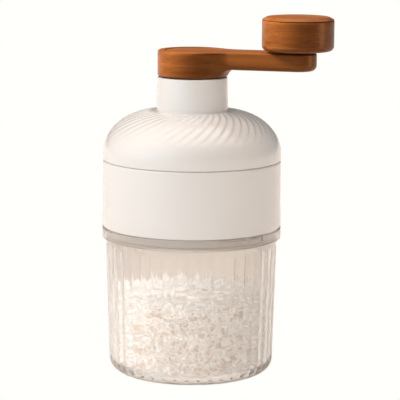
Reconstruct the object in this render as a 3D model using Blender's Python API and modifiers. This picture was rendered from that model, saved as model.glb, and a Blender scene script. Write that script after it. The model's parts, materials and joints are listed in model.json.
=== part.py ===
"""Hand-cranked rotary grater, standing on its clear jar.

From the table up it is a reeded jar with a plain collar, a white grater body that
holds the blade disc, a domed lid with a neck, and a crank with a free-turning knob.
The crank turns a square shaft. A sprung pusher slides on that shaft, presses the
food down and turns it over two fixed blades, and the shreds fall into the jar.

The origin is the centre of the jar's flat base. +Z is up, along the shaft, and the
crank arm points along +X. Units are metres.
"""

import math

import bmesh
import bpy

MM = 0.001

# ---------------------------------------------------------------- clearances
SEAT_GAP = 0.3 * MM  # between faces that rest on each other
RUNNING_GAP = 0.3 * MM  # round a turning or sliding fit
AXIAL_PLAY = 0.4 * MM  # end play of the shaft and of the closed joints
HEAD_ROOM = 0.5 * MM  # above and below the crank's web
CUT_OVER = 1.0 * MM  # how far a cutter runs past the face it opens

# ---------------------------------------------------------------- jar
BASE_RADIUS = 55.0 * MM
JAR_HEIGHT = 98.4 * MM
JAR_TAPER = 2.4 * MM  # how much wider the wall is at the collar than at the base
JAR_WALL = 2.6 * MM
JAR_FLOOR = 3.6 * MM
FOOT_RADIUS = 9.0 * MM  # fillet between the base and the wall
COLLAR_HEIGHT = 7.6 * MM
COLLAR_STEP = 2.4 * MM  # how far the collar stands out from the wall
COLLAR_WALL = 2.8 * MM
COLLAR_ROUNDING = 1.0 * MM
MOUTH_DEPTH = 6.8 * MM  # from the collar's top to the ledge that the seal lies on
REED_COUNT = 44
REED_DEPTH = 0.7 * MM
REED_MARGIN = 3.6 * MM  # smooth wall between the collar and the reeds
REED_RUN_OUT = 2.0 * MM
FACETS_PER_REED = 2  # its crest and its valley

# ---------------------------------------------------------------- grater body
BODY_HEIGHT = 44.3 * MM
BODY_SET_BACK = 0.1 * MM  # the body's foot inside the collar
BODY_FLARE = 0.4 * MM  # the foot of the body swells out by this much
BODY_FLARE_START = 6.3 * MM  # heights above the body's foot
BODY_FLARE_END = 17.3 * MM
BODY_CHAMFER = 0.8 * MM
BODY_WALL = 3.7 * MM
BODY_MOUTH_WALL = 2.4 * MM
BODY_MOUTH_DEPTH = 6.8 * MM
SKIRT_WALL = 2.5 * MM
SKIRT_DROP = 5.3 * MM  # length of skirt that plugs into the collar
LEDGE_WIDTH = 7.7 * MM  # the ledge that carries the blade disc
LEDGE_THICKNESS = 2.2 * MM
LEDGE_DEPTH = 1.7 * MM  # the ledge's top below the body's foot
SEAT_HEIGHT = 4.5 * MM  # the narrow bore round the disc, above the ledge

# ---------------------------------------------------------------- twist locks
LUG_COUNT = 3
LUG_REACH = 1.3 * MM
LUG_HEIGHT = 1.8 * MM
LUG_RISE = 1.2 * MM  # from the end of the skirt up to the lug
LUG_HALF_ANGLE = 5.0  # degrees
LUG_SIDE_ANGLE = 1.0  # degrees of slack beside a lug
LOCK_ANGLE = 20.0  # degrees of turn from open to locked
LUG_ROOT = 0.6 * MM  # how far a lug is sunk into its skirt
ENTRY_STEP = 0.1 * MM  # how much deeper the entries are than the tracks
LUG_STEP_ANGLE = 3.0  # degrees in each facet of a lug or a track

# ---------------------------------------------------------------- blade disc
DISC_THICKNESS = 3.0 * MM
DISC_SCREW_COUNT = 3
SLOT_START = 10.0 * MM  # from the axis to the slot's inner end
SLOT_MARGIN = 0.5 * MM  # from the slot's outer end to the ledge
SLOT_WIDTH = 8.0 * MM
BLADE_COUNT = 2
BLADE_THICKNESS = 1.0 * MM
BLADE_END = 2.0 * MM  # how far a blade runs past each end of its slot
BLADE_WIDTH = 14.0 * MM
BLADE_OVERHANG = 2.5 * MM  # how far the cutting edge stands over the slot
TOOTH_COUNT = 20
TOOTH_DEPTH = 1.2 * MM
BLADE_SCREW_INSET = 10.0 * MM  # from each end of the blade
BLADE_SCREW_EDGE = 5.3 * MM  # from the blade's back edge
SCREW_HEAD_RADIUS = 2.6 * MM
SCREW_SHANK_RADIUS = 1.3 * MM
SCREW_HEAD_SUNK = 0.1 * MM
SCREW_END_COVER = 0.5 * MM  # a screw stops this far short of the face below it
SCREW_HEX_RADIUS = 1.4 * MM
HEX_DEPTH = 1.3 * MM

# ---------------------------------------------------------------- lid
DOME_HEIGHT = 32.6 * MM
LID_STRAIGHT = 4.2 * MM  # upright rim under the dome
LID_CHAMFER = 0.6 * MM
LID_WALL = 2.6 * MM
NECK_HEIGHT = 22.2 * MM
NECK_TOP_RADIUS = 23.2 * MM
NECK_DRAFT = 0.55 * MM  # how much wider the neck is at its foot
NECK_ROUNDING = 0.8 * MM
NECK_ROOF = 3.0 * MM
SPIGOT_WALL = 2.0 * MM
SPIGOT_DROP = 5.4 * MM
BOSS_LENGTH = 18.5 * MM
BOSS_WALL = 2.0 * MM
DOME_STEPS = 8

# ---------------------------------------------------------------- bearing and shaft
JOURNAL_RADIUS = 5.0 * MM
BUSH_WALL = 1.8 * MM
BUSH_FLANGE_WIDTH = 3.0 * MM
BUSH_FLANGE = 1.2 * MM
THRUST_WASHER = 1.1 * MM
SHAFT_COLLAR = 3.0 * MM
SHAFT_COLLAR_RIM = 0.3 * MM  # how far the collar stands out past the spring
SHAFT_SQUARE = 8.0 * MM
DRIVE_SQUARE = 6.8 * MM  # the end that drives the crank's hub
PILOT_RADIUS = 2.5 * MM
SHAFT_END_GAP = 0.7 * MM  # from the disc to the shaft's square end
CLIP_RISE = 2.2 * MM  # from the blades up to the clip
CLIP_THICKNESS = 0.8 * MM
CLIP_RIM = 1.7 * MM  # how far the clip stands out past the shaft's corners
CLIP_GROOVE_STEP = 0.2 * MM  # the groove's floor over the shaft's flats
CLIP_OPENING = 100.0  # degrees
CLIP_STEP_ANGLE = 13.0  # degrees in each facet of the clip

# ---------------------------------------------------------------- pusher and spring
PUSHER_GAP = 5.1 * MM  # from the plate's rim to the spigot's bore
PUSHER_PLATE = 3.0 * MM
PUSHER_HUB_RIM = 2.2 * MM  # the hub's rim round the spring
PUSHER_HUB_RISE = 9.0 * MM  # the hub's height over the plate
SPIKE_CLEARANCE = 1.4 * MM  # from the blades up to the spikes
SPIKE_LENGTH = 4.0 * MM
SPIKE_RADIUS = 2.4 * MM
SPIKE_ROWS = ((9.5 * MM, 10), (25.5 * MM, 6))  # distance in from the rim, and count
SPRING_GAP = 1.3 * MM  # between the shaft's corners and the spring
SPRING_WIRE = 1.4 * MM
SPRING_TURNS = 7
SPRING_STEPS = 10  # points in each turn

# ---------------------------------------------------------------- crank
CRANK_REACH = 71.0 * MM  # shaft axis to knob axis
HUB_HEIGHT = 17.3 * MM
HUB_WALL = 3.2 * MM
HUB_CORE_RADIUS = 11.0 * MM  # the solid middle, inside the hub's ring pocket
HUB_POCKET_ROOF = 4.5 * MM  # between the pocket and the cap's well
ARM_THICKNESS = 11.8 * MM
ARM_WIDTH = 25.0 * MM
ARM_BLEND = 8.0 * MM  # fillet between the hub and the sides of the arm
ARM_EDGE = 1.2 * MM  # rounding of the arm's edges
CAP_RIM = 5.7 * MM  # the hub's rim round the cap
CAP_THICKNESS = 2.5 * MM
CAP_CHAMFER = 0.6 * MM
CRANK_WEB = 1.2 * MM  # the part of the hub that the screw clamps
CRANK_SCREW_RADIUS = 2.0 * MM
CRANK_SCREW_HEAD_RADIUS = 4.6 * MM
CRANK_SCREW_HEAD = 2.2 * MM
CRANK_SCREW_LENGTH = 11.0 * MM
CRANK_SCREW_HEX_RADIUS = 1.7 * MM
CRANK_WASHER_RADIUS = 6.8 * MM
CRANK_WASHER = 0.6 * MM

# ---------------------------------------------------------------- knob
KNOB_RADIUS = 23.6 * MM
KNOB_HEIGHT = 19.9 * MM  # the body without its cap
KNOB_GAP = 1.4 * MM  # between the arm and the knob
KNOB_FOOT = 3.0 * MM
KNOB_FLOOR = 8.6 * MM  # thickness that the axle runs in
KNOB_SHELL = 2.8 * MM
KNOB_CORE_WALL = 2.5 * MM
KNOB_POCKET_FLOOR = 3.6 * MM
KNOB_CAP_HEIGHT = 2.4 * MM
KNOB_CAP_CHAMFER = 3.3 * MM  # width of the sloping rim
KNOB_CAP_CROWN = 0.4 * MM
KNOB_CAP_PLUG = 4.5 * MM
AXLE_RADIUS = 4.0 * MM
AXLE_HEAD_RADIUS = 7.0 * MM
AXLE_HEAD = 2.4 * MM
AXLE_HEAD_GAP = 2.5 * MM  # room for a key round the axle's head
AXLE_THREAD_RADIUS = 2.4 * MM
AXLE_THREAD = 8.5 * MM
AXLE_HEX_RADIUS = 2.6 * MM
KNOB_WASHER_RADIUS = 9.0 * MM

# ---------------------------------------------------------------- facets
LARGE_STEPS = 48
MEDIUM_STEPS = 36
SMALL_STEPS = 20
TINY_STEPS = 12

# ---------------------------------------------------------------- radii that follow
JAR_SHOULDER_RADIUS = BASE_RADIUS + JAR_TAPER
COLLAR_RADIUS = JAR_SHOULDER_RADIUS + COLLAR_STEP
MOUTH_RADIUS = COLLAR_RADIUS - COLLAR_WALL
BODY_FLARE_RADIUS = COLLAR_RADIUS - BODY_SET_BACK
BODY_RADIUS = BODY_FLARE_RADIUS - BODY_FLARE
BODY_BORE = BODY_RADIUS - BODY_WALL
BODY_MOUTH_RADIUS = BODY_RADIUS - BODY_MOUTH_WALL
SKIRT_RADIUS = MOUTH_RADIUS - RUNNING_GAP
SKIRT_BORE = SKIRT_RADIUS - SKIRT_WALL
LEDGE_BORE = SKIRT_BORE - LEDGE_WIDTH
DISC_RADIUS = SKIRT_BORE - RUNNING_GAP
DISC_SCREW_CIRCLE = (LEDGE_BORE + SKIRT_BORE) / 2
SLOT_LENGTH = LEDGE_BORE - SLOT_MARGIN - SLOT_START
BLADE_START = SLOT_START - BLADE_END
BLADE_LENGTH = SLOT_LENGTH + 2 * BLADE_END
LID_RADIUS = BODY_RADIUS
SPIGOT_RADIUS = BODY_MOUTH_RADIUS - RUNNING_GAP
SPIGOT_BORE = SPIGOT_RADIUS - SPIGOT_WALL
NECK_FOOT_RADIUS = NECK_TOP_RADIUS + NECK_DRAFT
NECK_BORE = NECK_FOOT_RADIUS - LID_WALL
BUSH_BORE = JOURNAL_RADIUS + RUNNING_GAP
BUSH_RADIUS = BUSH_BORE + BUSH_WALL
BUSH_FLANGE_RADIUS = BUSH_RADIUS + BUSH_FLANGE_WIDTH
BOSS_BORE = BUSH_RADIUS + SEAT_GAP
BOSS_RADIUS = BOSS_BORE + BOSS_WALL
RECESS_RADIUS = BUSH_FLANGE_RADIUS + RUNNING_GAP
SHAFT_CORNER_RADIUS = SHAFT_SQUARE / math.sqrt(2)
CLIP_GROOVE_RADIUS = SHAFT_SQUARE / 2 + CLIP_GROOVE_STEP
CLIP_RADIUS = SHAFT_CORNER_RADIUS + CLIP_RIM
SPRING_RADIUS = SHAFT_CORNER_RADIUS + SPRING_GAP + SPRING_WIRE / 2
SHAFT_COLLAR_RADIUS = SPRING_RADIUS + SPRING_WIRE / 2 + SHAFT_COLLAR_RIM
PUSHER_HUB_RADIUS = SPRING_RADIUS + SPRING_WIRE / 2 + PUSHER_HUB_RIM
PUSHER_RADIUS = SPIGOT_BORE - PUSHER_GAP
HUB_RADIUS = NECK_TOP_RADIUS
CAP_RADIUS = HUB_RADIUS - CAP_RIM
KNOB_CAVITY_RADIUS = AXLE_HEAD_RADIUS + AXLE_HEAD_GAP
KNOB_CORE_RADIUS = KNOB_CAVITY_RADIUS + KNOB_CORE_WALL

# ---------------------------------------------------------------- heights that follow, from the table up
COLLAR_TOP = JAR_HEIGHT
COLLAR_BOTTOM = COLLAR_TOP - COLLAR_HEIGHT
MOUTH_LEDGE = COLLAR_TOP - MOUTH_DEPTH
REED_TOP = COLLAR_BOTTOM - REED_MARGIN
BODY_BOTTOM = COLLAR_TOP + SEAT_GAP
BODY_TOP = BODY_BOTTOM + BODY_HEIGHT
BODY_MOUTH_LEDGE = BODY_TOP - BODY_MOUTH_DEPTH
SKIRT_BOTTOM = BODY_BOTTOM - SKIRT_DROP
LEDGE_TOP = BODY_BOTTOM - LEDGE_DEPTH
LEDGE_BOTTOM = LEDGE_TOP - LEDGE_THICKNESS
SEAT_TOP = LEDGE_TOP + SEAT_HEIGHT
DISC_BOTTOM = LEDGE_TOP + SEAT_GAP
DISC_TOP = DISC_BOTTOM + DISC_THICKNESS
BLADE_BOTTOM = DISC_TOP + SEAT_GAP
BLADE_TOP = BLADE_BOTTOM + BLADE_THICKNESS
LID_BOTTOM = BODY_TOP + AXIAL_PLAY
SPIGOT_BOTTOM = LID_BOTTOM - SPIGOT_DROP
DOME_BOTTOM = LID_BOTTOM + LID_STRAIGHT
NECK_BOTTOM = LID_BOTTOM + DOME_HEIGHT
NECK_TOP = NECK_BOTTOM + NECK_HEIGHT
RECESS_FLOOR = NECK_TOP - BUSH_FLANGE - THRUST_WASHER - AXIAL_PLAY
FLANGE_BOTTOM = RECESS_FLOOR + SEAT_GAP
FLANGE_TOP = FLANGE_BOTTOM + BUSH_FLANGE
BOSS_BOTTOM = RECESS_FLOOR - BOSS_LENGTH
BUSH_BOTTOM = BOSS_BOTTOM - AXIAL_PLAY
SHAFT_COLLAR_TOP = BUSH_BOTTOM - AXIAL_PLAY
SHAFT_COLLAR_BOTTOM = SHAFT_COLLAR_TOP - SHAFT_COLLAR
SHAFT_SQUARE_BOTTOM = DISC_TOP + SHAFT_END_GAP
PILOT_BOTTOM = DISC_BOTTOM + SEAT_GAP
CLIP_BOTTOM = BLADE_TOP + CLIP_RISE
CLIP_TOP = CLIP_BOTTOM + CLIP_THICKNESS
SPIKE_TIP = BLADE_TOP + SPIKE_CLEARANCE
PLATE_BOTTOM = SPIKE_TIP + SPIKE_LENGTH
PLATE_TOP = PLATE_BOTTOM + PUSHER_PLATE
PUSHER_HUB_BOTTOM = CLIP_TOP + SEAT_GAP
PUSHER_HUB_TOP = PLATE_TOP + PUSHER_HUB_RISE
HUB_BOTTOM = NECK_TOP + HEAD_ROOM
CRANK_TOP = HUB_BOTTOM + HUB_HEIGHT
ARM_BOTTOM = CRANK_TOP - ARM_THICKNESS
CAP_FLOOR = CRANK_TOP - CAP_THICKNESS - SEAT_GAP
HUB_POCKET_TOP = CAP_FLOOR - HUB_POCKET_ROOF
SCREW_HEAD_TOP = CAP_FLOOR - HEAD_ROOM
SCREW_SEAT = SCREW_HEAD_TOP - CRANK_SCREW_HEAD
WASHER_TOP = SCREW_SEAT - SEAT_GAP
WASHER_BOTTOM = WASHER_TOP - CRANK_WASHER
WEB_TOP = WASHER_BOTTOM - SEAT_GAP
WEB_BOTTOM = WEB_TOP - CRANK_WEB
DRIVE_TOP = WEB_BOTTOM - HEAD_ROOM
KNOB_BOTTOM = CRANK_TOP + KNOB_GAP
KNOB_TOP = KNOB_BOTTOM + KNOB_HEIGHT
KNOB_CAP_BOTTOM = KNOB_TOP + SEAT_GAP
AXLE_SHOULDER = CRANK_TOP + SEAT_GAP
AXLE_HEAD_BOTTOM = KNOB_BOTTOM + KNOB_FLOOR + SEAT_GAP

PARTS = "rotary_grater"
CUTTERS = "cutters"

FINISHES = {  # name: (base colour, roughness, metallic, transmission)
    "clear_jar": ((0.93, 0.90, 0.87), 0.08, 0.0, 1.0),
    "white_shell": ((0.90, 0.87, 0.83), 0.28, 0.0, 0.0),
    "white_inner": ((0.88, 0.87, 0.85), 0.40, 0.0, 0.0),
    "brown_handle": ((0.37, 0.15, 0.05), 0.35, 0.0, 0.0),
    "stainless": ((0.62, 0.62, 0.62), 0.28, 1.0, 0.0),
    "silicone": ((0.80, 0.79, 0.77), 0.60, 0.0, 0.0),
    "nylon": ((0.70, 0.69, 0.66), 0.50, 0.0, 0.0),
}


# ================================================================ scene and materials


def clear_scene():
    for obj in list(bpy.data.objects):
        bpy.data.objects.remove(obj)
    for name in (PARTS, CUTTERS):
        bpy.context.scene.collection.children.link(bpy.data.collections.new(name))


def material(name):
    """The Principled material of one of the FINISHES."""
    found = bpy.data.materials.get(name)
    if found:
        return found
    colour, roughness, metallic, transmission = FINISHES[name]
    made = bpy.data.materials.new(name)
    made.use_nodes = True
    inputs = made.node_tree.nodes["Principled BSDF"].inputs
    inputs["Base Color"].default_value = (*colour, 1.0)
    inputs["Roughness"].default_value = roughness
    inputs["Metallic"].default_value = metallic
    inputs["Transmission Weight"].default_value = transmission
    made.diffuse_color = (*colour, 1.0)
    return made


def as_part(obj, finish, parent=None):
    """Puts an object among the parts, with its material."""
    move_to(obj, PARTS)
    obj.hide_render = False
    obj.display_type = "TEXTURED"
    obj.data.materials.clear()
    obj.data.materials.append(material(finish))
    obj.parent = parent
    return obj


def as_cutter(obj):
    """Puts an object among the cutters, which are only there to cut or join."""
    move_to(obj, CUTTERS)
    obj.hide_render = True
    obj.display_type = "WIRE"
    return obj


def move_to(obj, collection):
    for old in list(obj.users_collection):
        old.objects.unlink(obj)
    bpy.data.collections[collection].objects.link(obj)


def axis_empty(name, parent=None, x=0.0):
    """An empty on a joint's upright axis, which the joint's pieces hang on."""
    made = bpy.data.objects.new(name, None)
    bpy.data.collections[PARTS].objects.link(made)
    made.location.x = x
    made.parent = parent
    return made


# ================================================================ shapes


def polar(radius, degrees):
    return (
        radius * math.cos(math.radians(degrees)),
        radius * math.sin(math.radians(degrees)),
    )


def turned_to(point, heading):
    """A point of the plan turned about the axis, by degrees."""
    cos, sin = polar(1.0, heading)
    return point[0] * cos - point[1] * sin, point[0] * sin + point[1] * cos


def around(count, first=0.0):
    """Evenly spaced headings, in degrees."""
    return [first + 360.0 * i / count for i in range(count)]


def arc(centre, radii, start, end, count):
    """Points on an ellipse from start to end, in degrees."""
    angles = (math.radians(start + (end - start) * i / count) for i in range(count + 1))
    return [
        (centre[0] + radii[0] * math.cos(a), centre[1] + radii[1] * math.sin(a))
        for a in angles
    ]


def ring(inner, outer, bottom, top):
    """The section of a ring, starting down its outer side."""
    return [(outer, top), (outer, bottom), (inner, bottom), (inner, top)]


def turned(name, profile, steps, closed=True):
    """A profile of (radius, height) points turned about Z. An open one starts and ends on the axis."""
    mesh = bpy.data.meshes.new(name)
    count = len(profile)
    edges = [(i, (i + 1) % count) for i in range(count if closed else count - 1)]
    mesh.from_pydata([(r, 0.0, z) for r, z in profile], edges, [])
    obj = bpy.data.objects.new(name, mesh)
    screw = obj.modifiers.new("turn", "SCREW")
    screw.steps = screw.render_steps = steps
    screw.use_merge_vertices = True
    screw.merge_threshold = 0.00001
    screw.use_smooth_shade = True
    return as_cutter(obj)


def cylinder(name, radius, bottom, top, place=(0.0, 0.0), sides=TINY_STEPS):
    bpy.ops.mesh.primitive_cylinder_add(
        vertices=sides,
        radius=radius,
        depth=top - bottom,
        location=(*place, (top + bottom) / 2),
    )
    obj = bpy.context.object
    obj.name = name
    return as_cutter(obj)


def block(name, length, width, bottom, top, place=(0.0, 0.0), heading=0.0):
    """A box whose length lies along its heading, in degrees."""
    bpy.ops.mesh.primitive_cube_add(
        size=1.0,
        location=(*place, (top + bottom) / 2),
        rotation=(0, 0, math.radians(heading)),
    )
    obj = bpy.context.object
    obj.name = name
    obj.scale = (length, width, top - bottom)
    return as_cutter(obj)


def as_mesh(obj):
    """An object made a plain mesh with its seams welded, as cutting and joining need."""
    bpy.context.view_layer.update()
    graph = bpy.context.evaluated_depsgraph_get()
    mesh = bpy.data.meshes.new_from_object(obj.evaluated_get(graph))
    name, matrix = obj.name, obj.matrix_world.copy()
    bpy.data.objects.remove(obj)
    shape = bmesh.new()
    shape.from_mesh(mesh)
    bmesh.ops.remove_doubles(shape, verts=shape.verts, dist=0.000001)
    shape.to_mesh(mesh)
    shape.free()
    made = bpy.data.objects.new(name, mesh)
    made.matrix_world = matrix
    return as_cutter(made)


def plate(name, outline, bottom, top, rounding=0.0):
    """A flat outline of (x, y) points made a plate, its edges rounded by a radius."""
    curve = bpy.data.curves.new(name, "CURVE")
    curve.dimensions = "2D"
    curve.fill_mode = "BOTH"
    curve.extrude = (top - bottom) / 2 - rounding
    curve.bevel_depth = rounding
    curve.bevel_resolution = 1
    curve.offset = -rounding
    spline = curve.splines.new("POLY")
    spline.points.add(len(outline) - 1)
    for point, (x, y) in zip(spline.points, outline, strict=True):
        point.co = (x, y, 0.0, 1.0)
    spline.use_cyclic_u = True
    obj = bpy.data.objects.new(name, curve)
    bpy.context.scene.collection.objects.link(obj)
    obj.location.z = (top + bottom) / 2
    return as_mesh(obj)


def sector(name, inner, outer, bottom, top, start, end, step=LUG_STEP_ANGLE):
    """A slice of a ring between two headings, in degrees."""
    count = max(2, round((end - start) / step))
    headings = [start + (end - start) * i / count for i in range(count + 1)]
    outline = [polar(outer, a) for a in headings]
    outline += [polar(inner, a) for a in reversed(headings)]
    return plate(name, outline, bottom, top)


def boolean(obj, other, operation="DIFFERENCE"):
    modifier = obj.modifiers.new(other.name, "BOOLEAN")
    modifier.operation = operation
    modifier.object = other


# ================================================================ twist locks


def add_lugs(obj, name, skirt_radius, skirt_bottom):
    """Lugs on the outside of a skirt. At rest they stand in the entries of the socket."""
    bottom = skirt_bottom + LUG_RISE
    for number, heading in enumerate(around(LUG_COUNT, 90.0), 1):
        lug = sector(
            f"{name}_lug_{number}",
            skirt_radius - LUG_ROOT,
            skirt_radius + LUG_REACH,
            bottom,
            bottom + LUG_HEIGHT,
            heading - LUG_HALF_ANGLE,
            heading + LUG_HALF_ANGLE,
        )
        boolean(obj, lug, "UNION")


def cut_lug_tracks(obj, name, bore, skirt_bottom, mouth_top):
    """Entries down from the mouth, and level tracks that the lugs turn into, clockwise from above."""
    half = LUG_HALF_ANGLE + LUG_SIDE_ANGLE
    inside = bore - CUT_OVER
    outside = bore + LUG_REACH
    bottom = skirt_bottom + LUG_RISE - RUNNING_GAP
    top = bottom + LUG_HEIGHT + 2 * RUNNING_GAP
    for number, heading in enumerate(around(LUG_COUNT, 90.0), 1):
        track = sector(
            f"{name}_track_{number}",
            inside,
            outside,
            bottom,
            top,
            heading - half - LOCK_ANGLE,
            heading,
        )
        boolean(obj, track)
        entry = sector(
            f"{name}_entry_{number}",
            inside,
            outside + ENTRY_STEP,
            bottom - ENTRY_STEP,
            mouth_top + CUT_OVER,
            heading - half,
            heading + half,
        )
        boolean(obj, entry)


# ================================================================ jar


def wall_radius(height):
    """The outside of the jar's tapered wall."""
    slope = JAR_TAPER / (COLLAR_BOTTOM - FOOT_RADIUS)
    return BASE_RADIUS + slope * (height - FOOT_RADIUS)


def jar_profile():
    inner_foot = FOOT_RADIUS - JAR_WALL / 2
    inner_corner = JAR_FLOOR + inner_foot
    inner_base = wall_radius(inner_corner) - JAR_WALL - inner_foot
    run_out = REED_TOP - REED_RUN_OUT
    return [
        (0.0, JAR_FLOOR),
        *arc((inner_base, inner_corner), (inner_foot,) * 2, -90, 0, 4),
        (wall_radius(MOUTH_LEDGE) - JAR_WALL, MOUTH_LEDGE),
        (MOUTH_RADIUS, MOUTH_LEDGE),
        (MOUTH_RADIUS, COLLAR_TOP),
        (COLLAR_RADIUS - COLLAR_ROUNDING, COLLAR_TOP),
        (COLLAR_RADIUS, COLLAR_TOP - COLLAR_ROUNDING),
        (COLLAR_RADIUS, COLLAR_BOTTOM + COLLAR_ROUNDING),
        (COLLAR_RADIUS - COLLAR_ROUNDING, COLLAR_BOTTOM),
        (wall_radius(COLLAR_BOTTOM), COLLAR_BOTTOM),
        (wall_radius(REED_TOP), REED_TOP),
        (wall_radius(run_out), run_out),
        *arc((BASE_RADIUS - FOOT_RADIUS, FOOT_RADIUS), (FOOT_RADIUS,) * 2, 0, -90, 4),
        (0.0, 0.0),
    ]


def press_reeds(jar):
    """Moves every other column of the outside wall and foot inwards, as the valleys between the reeds."""
    foot = BASE_RADIUS - FOOT_RADIUS
    for vertex in jar.data.vertices:
        radius, height = vertex.co.xy.length, vertex.co.z
        turn = math.atan2(vertex.co.y, vertex.co.x) / (2 * math.pi)
        crest = round(turn * REED_COUNT * FACETS_PER_REED) % FACETS_PER_REED == 0
        depth_in_wall = wall_radius(max(height, FOOT_RADIUS)) - radius
        on_wall = FOOT_RADIUS / 2 < height < REED_TOP - REED_RUN_OUT / 2
        on_foot = height < FOOT_RADIUS / 2 and radius > foot
        outside = depth_in_wall < JAR_WALL / 2 if height > FOOT_RADIUS / 2 else True
        if crest or not outside or not (on_wall or on_foot):
            continue
        share = min(1.0, (radius - foot) / FOOT_RADIUS * 2)
        vertex.co.xy *= 1 - REED_DEPTH * share / radius


def make_jar():
    profile = jar_profile()
    jar = as_mesh(turned("jar", profile, REED_COUNT * FACETS_PER_REED, closed=False))
    press_reeds(jar)
    cut_lug_tracks(jar, "collar", MOUTH_RADIUS, SKIRT_BOTTOM, COLLAR_TOP)
    jar.data.shade_smooth()
    jar.data.set_sharp_from_angle(angle=math.radians(20))
    as_part(jar, "clear_jar")


# ================================================================ grater body and its seal


def make_jar_seal(parent):
    """A flat silicone ring on the ledge in the jar's mouth, under the skirt."""
    seal = ring(
        SKIRT_BORE + RUNNING_GAP,
        SKIRT_RADIUS,
        MOUTH_LEDGE + SEAT_GAP,
        SKIRT_BOTTOM - SEAT_GAP,
    )
    as_part(turned("jar_seal", seal, LARGE_STEPS), "silicone", parent)


def body_profile():
    return [
        (BODY_RADIUS - BODY_CHAMFER, BODY_TOP),
        (BODY_RADIUS, BODY_TOP - BODY_CHAMFER),
        (BODY_RADIUS, BODY_BOTTOM + BODY_FLARE_END),
        (BODY_FLARE_RADIUS, BODY_BOTTOM + BODY_FLARE_START),
        (BODY_FLARE_RADIUS, BODY_BOTTOM + BODY_CHAMFER),
        (BODY_FLARE_RADIUS - BODY_CHAMFER, BODY_BOTTOM),
        (SKIRT_RADIUS, BODY_BOTTOM),
        (SKIRT_RADIUS, SKIRT_BOTTOM),
        (SKIRT_BORE, SKIRT_BOTTOM),
        (SKIRT_BORE, LEDGE_BOTTOM),
        (LEDGE_BORE, LEDGE_BOTTOM),
        (LEDGE_BORE, LEDGE_TOP),
        (SKIRT_BORE, LEDGE_TOP),
        (SKIRT_BORE, SEAT_TOP),
        (BODY_BORE, SEAT_TOP + BODY_BORE - SKIRT_BORE),
        (BODY_BORE, BODY_MOUTH_LEDGE),
        (BODY_MOUTH_RADIUS, BODY_MOUTH_LEDGE),
        (BODY_MOUTH_RADIUS, BODY_TOP),
    ]


def disc_screw_places():
    return [polar(DISC_SCREW_CIRCLE, heading) for heading in around(DISC_SCREW_COUNT, 90.0)]


def make_body(parent):
    body = turned("grater_body", body_profile(), LARGE_STEPS)
    add_lugs(body, "body", SKIRT_RADIUS, SKIRT_BOTTOM)
    cut_lug_tracks(body, "mouth", BODY_MOUTH_RADIUS, SPIGOT_BOTTOM, BODY_TOP)
    for number, place in enumerate(disc_screw_places(), 1):
        hole = cylinder(
            f"ledge_hole_{number}",
            SCREW_SHANK_RADIUS + RUNNING_GAP,
            LEDGE_BOTTOM - CUT_OVER,
            LEDGE_TOP + CUT_OVER,
            place,
        )
        boolean(body, hole)
    as_part(body, "white_shell", parent)


# ================================================================ blade disc, blades and their screws


def countersunk_side(top, bottom, grow=0.0):
    """The side and end of a countersunk screw, or of the hole for one, which grows round it."""
    head = SCREW_HEAD_RADIUS + grow
    shank = SCREW_SHANK_RADIUS + grow
    return [
        (head, top),
        (shank, top - (head - shank)),
        (shank, bottom),
        (0.0, bottom),
    ]


def add_screw(name, place, top, bottom, parent):
    """A countersunk screw with a hexagon socket."""
    profile = [(0.0, top), *countersunk_side(top, bottom)]
    screw = turned(name, profile, TINY_STEPS, closed=False)
    screw.location.xy = place
    socket = cylinder(
        f"{name}_socket",
        SCREW_HEX_RADIUS,
        top - HEX_DEPTH,
        top + CUT_OVER,
        place,
        sides=6,
    )
    boolean(screw, socket)
    as_part(screw, "stainless", parent)


def cut_screw_hole(obj, name, place, top, bottom):
    """A countersunk hole right through, straight above the screw's head."""
    mouth = top + CUT_OVER
    profile = [
        (0.0, mouth),
        (SCREW_HEAD_RADIUS + RUNNING_GAP, mouth),
        *countersunk_side(top, bottom - CUT_OVER, RUNNING_GAP),
    ]
    hole = turned(name, profile, TINY_STEPS, closed=False)
    hole.location.xy = place
    boolean(obj, hole)


def blade_outline():
    """A blade beside the slot that runs out along X. Its teeth point to +Y, over the slot."""
    edge = BLADE_OVERHANG - SLOT_WIDTH / 2
    root = edge - TOOTH_DEPTH
    back = edge - BLADE_WIDTH
    end = BLADE_START + BLADE_LENGTH
    pitch = BLADE_LENGTH / TOOTH_COUNT
    outline = [(BLADE_START, back), (end, back), (end, root)]
    for i in range(TOOTH_COUNT):
        outline.append((end - (i + 0.5) * pitch, edge))
        outline.append((end - (i + 1) * pitch, root))
    return outline


def blade_screw_places(heading):
    y = BLADE_OVERHANG - SLOT_WIDTH / 2 - BLADE_WIDTH + BLADE_SCREW_EDGE
    ends = (BLADE_SCREW_INSET, BLADE_LENGTH - BLADE_SCREW_INSET)
    return [turned_to((BLADE_START + x, y), heading) for x in ends]


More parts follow.
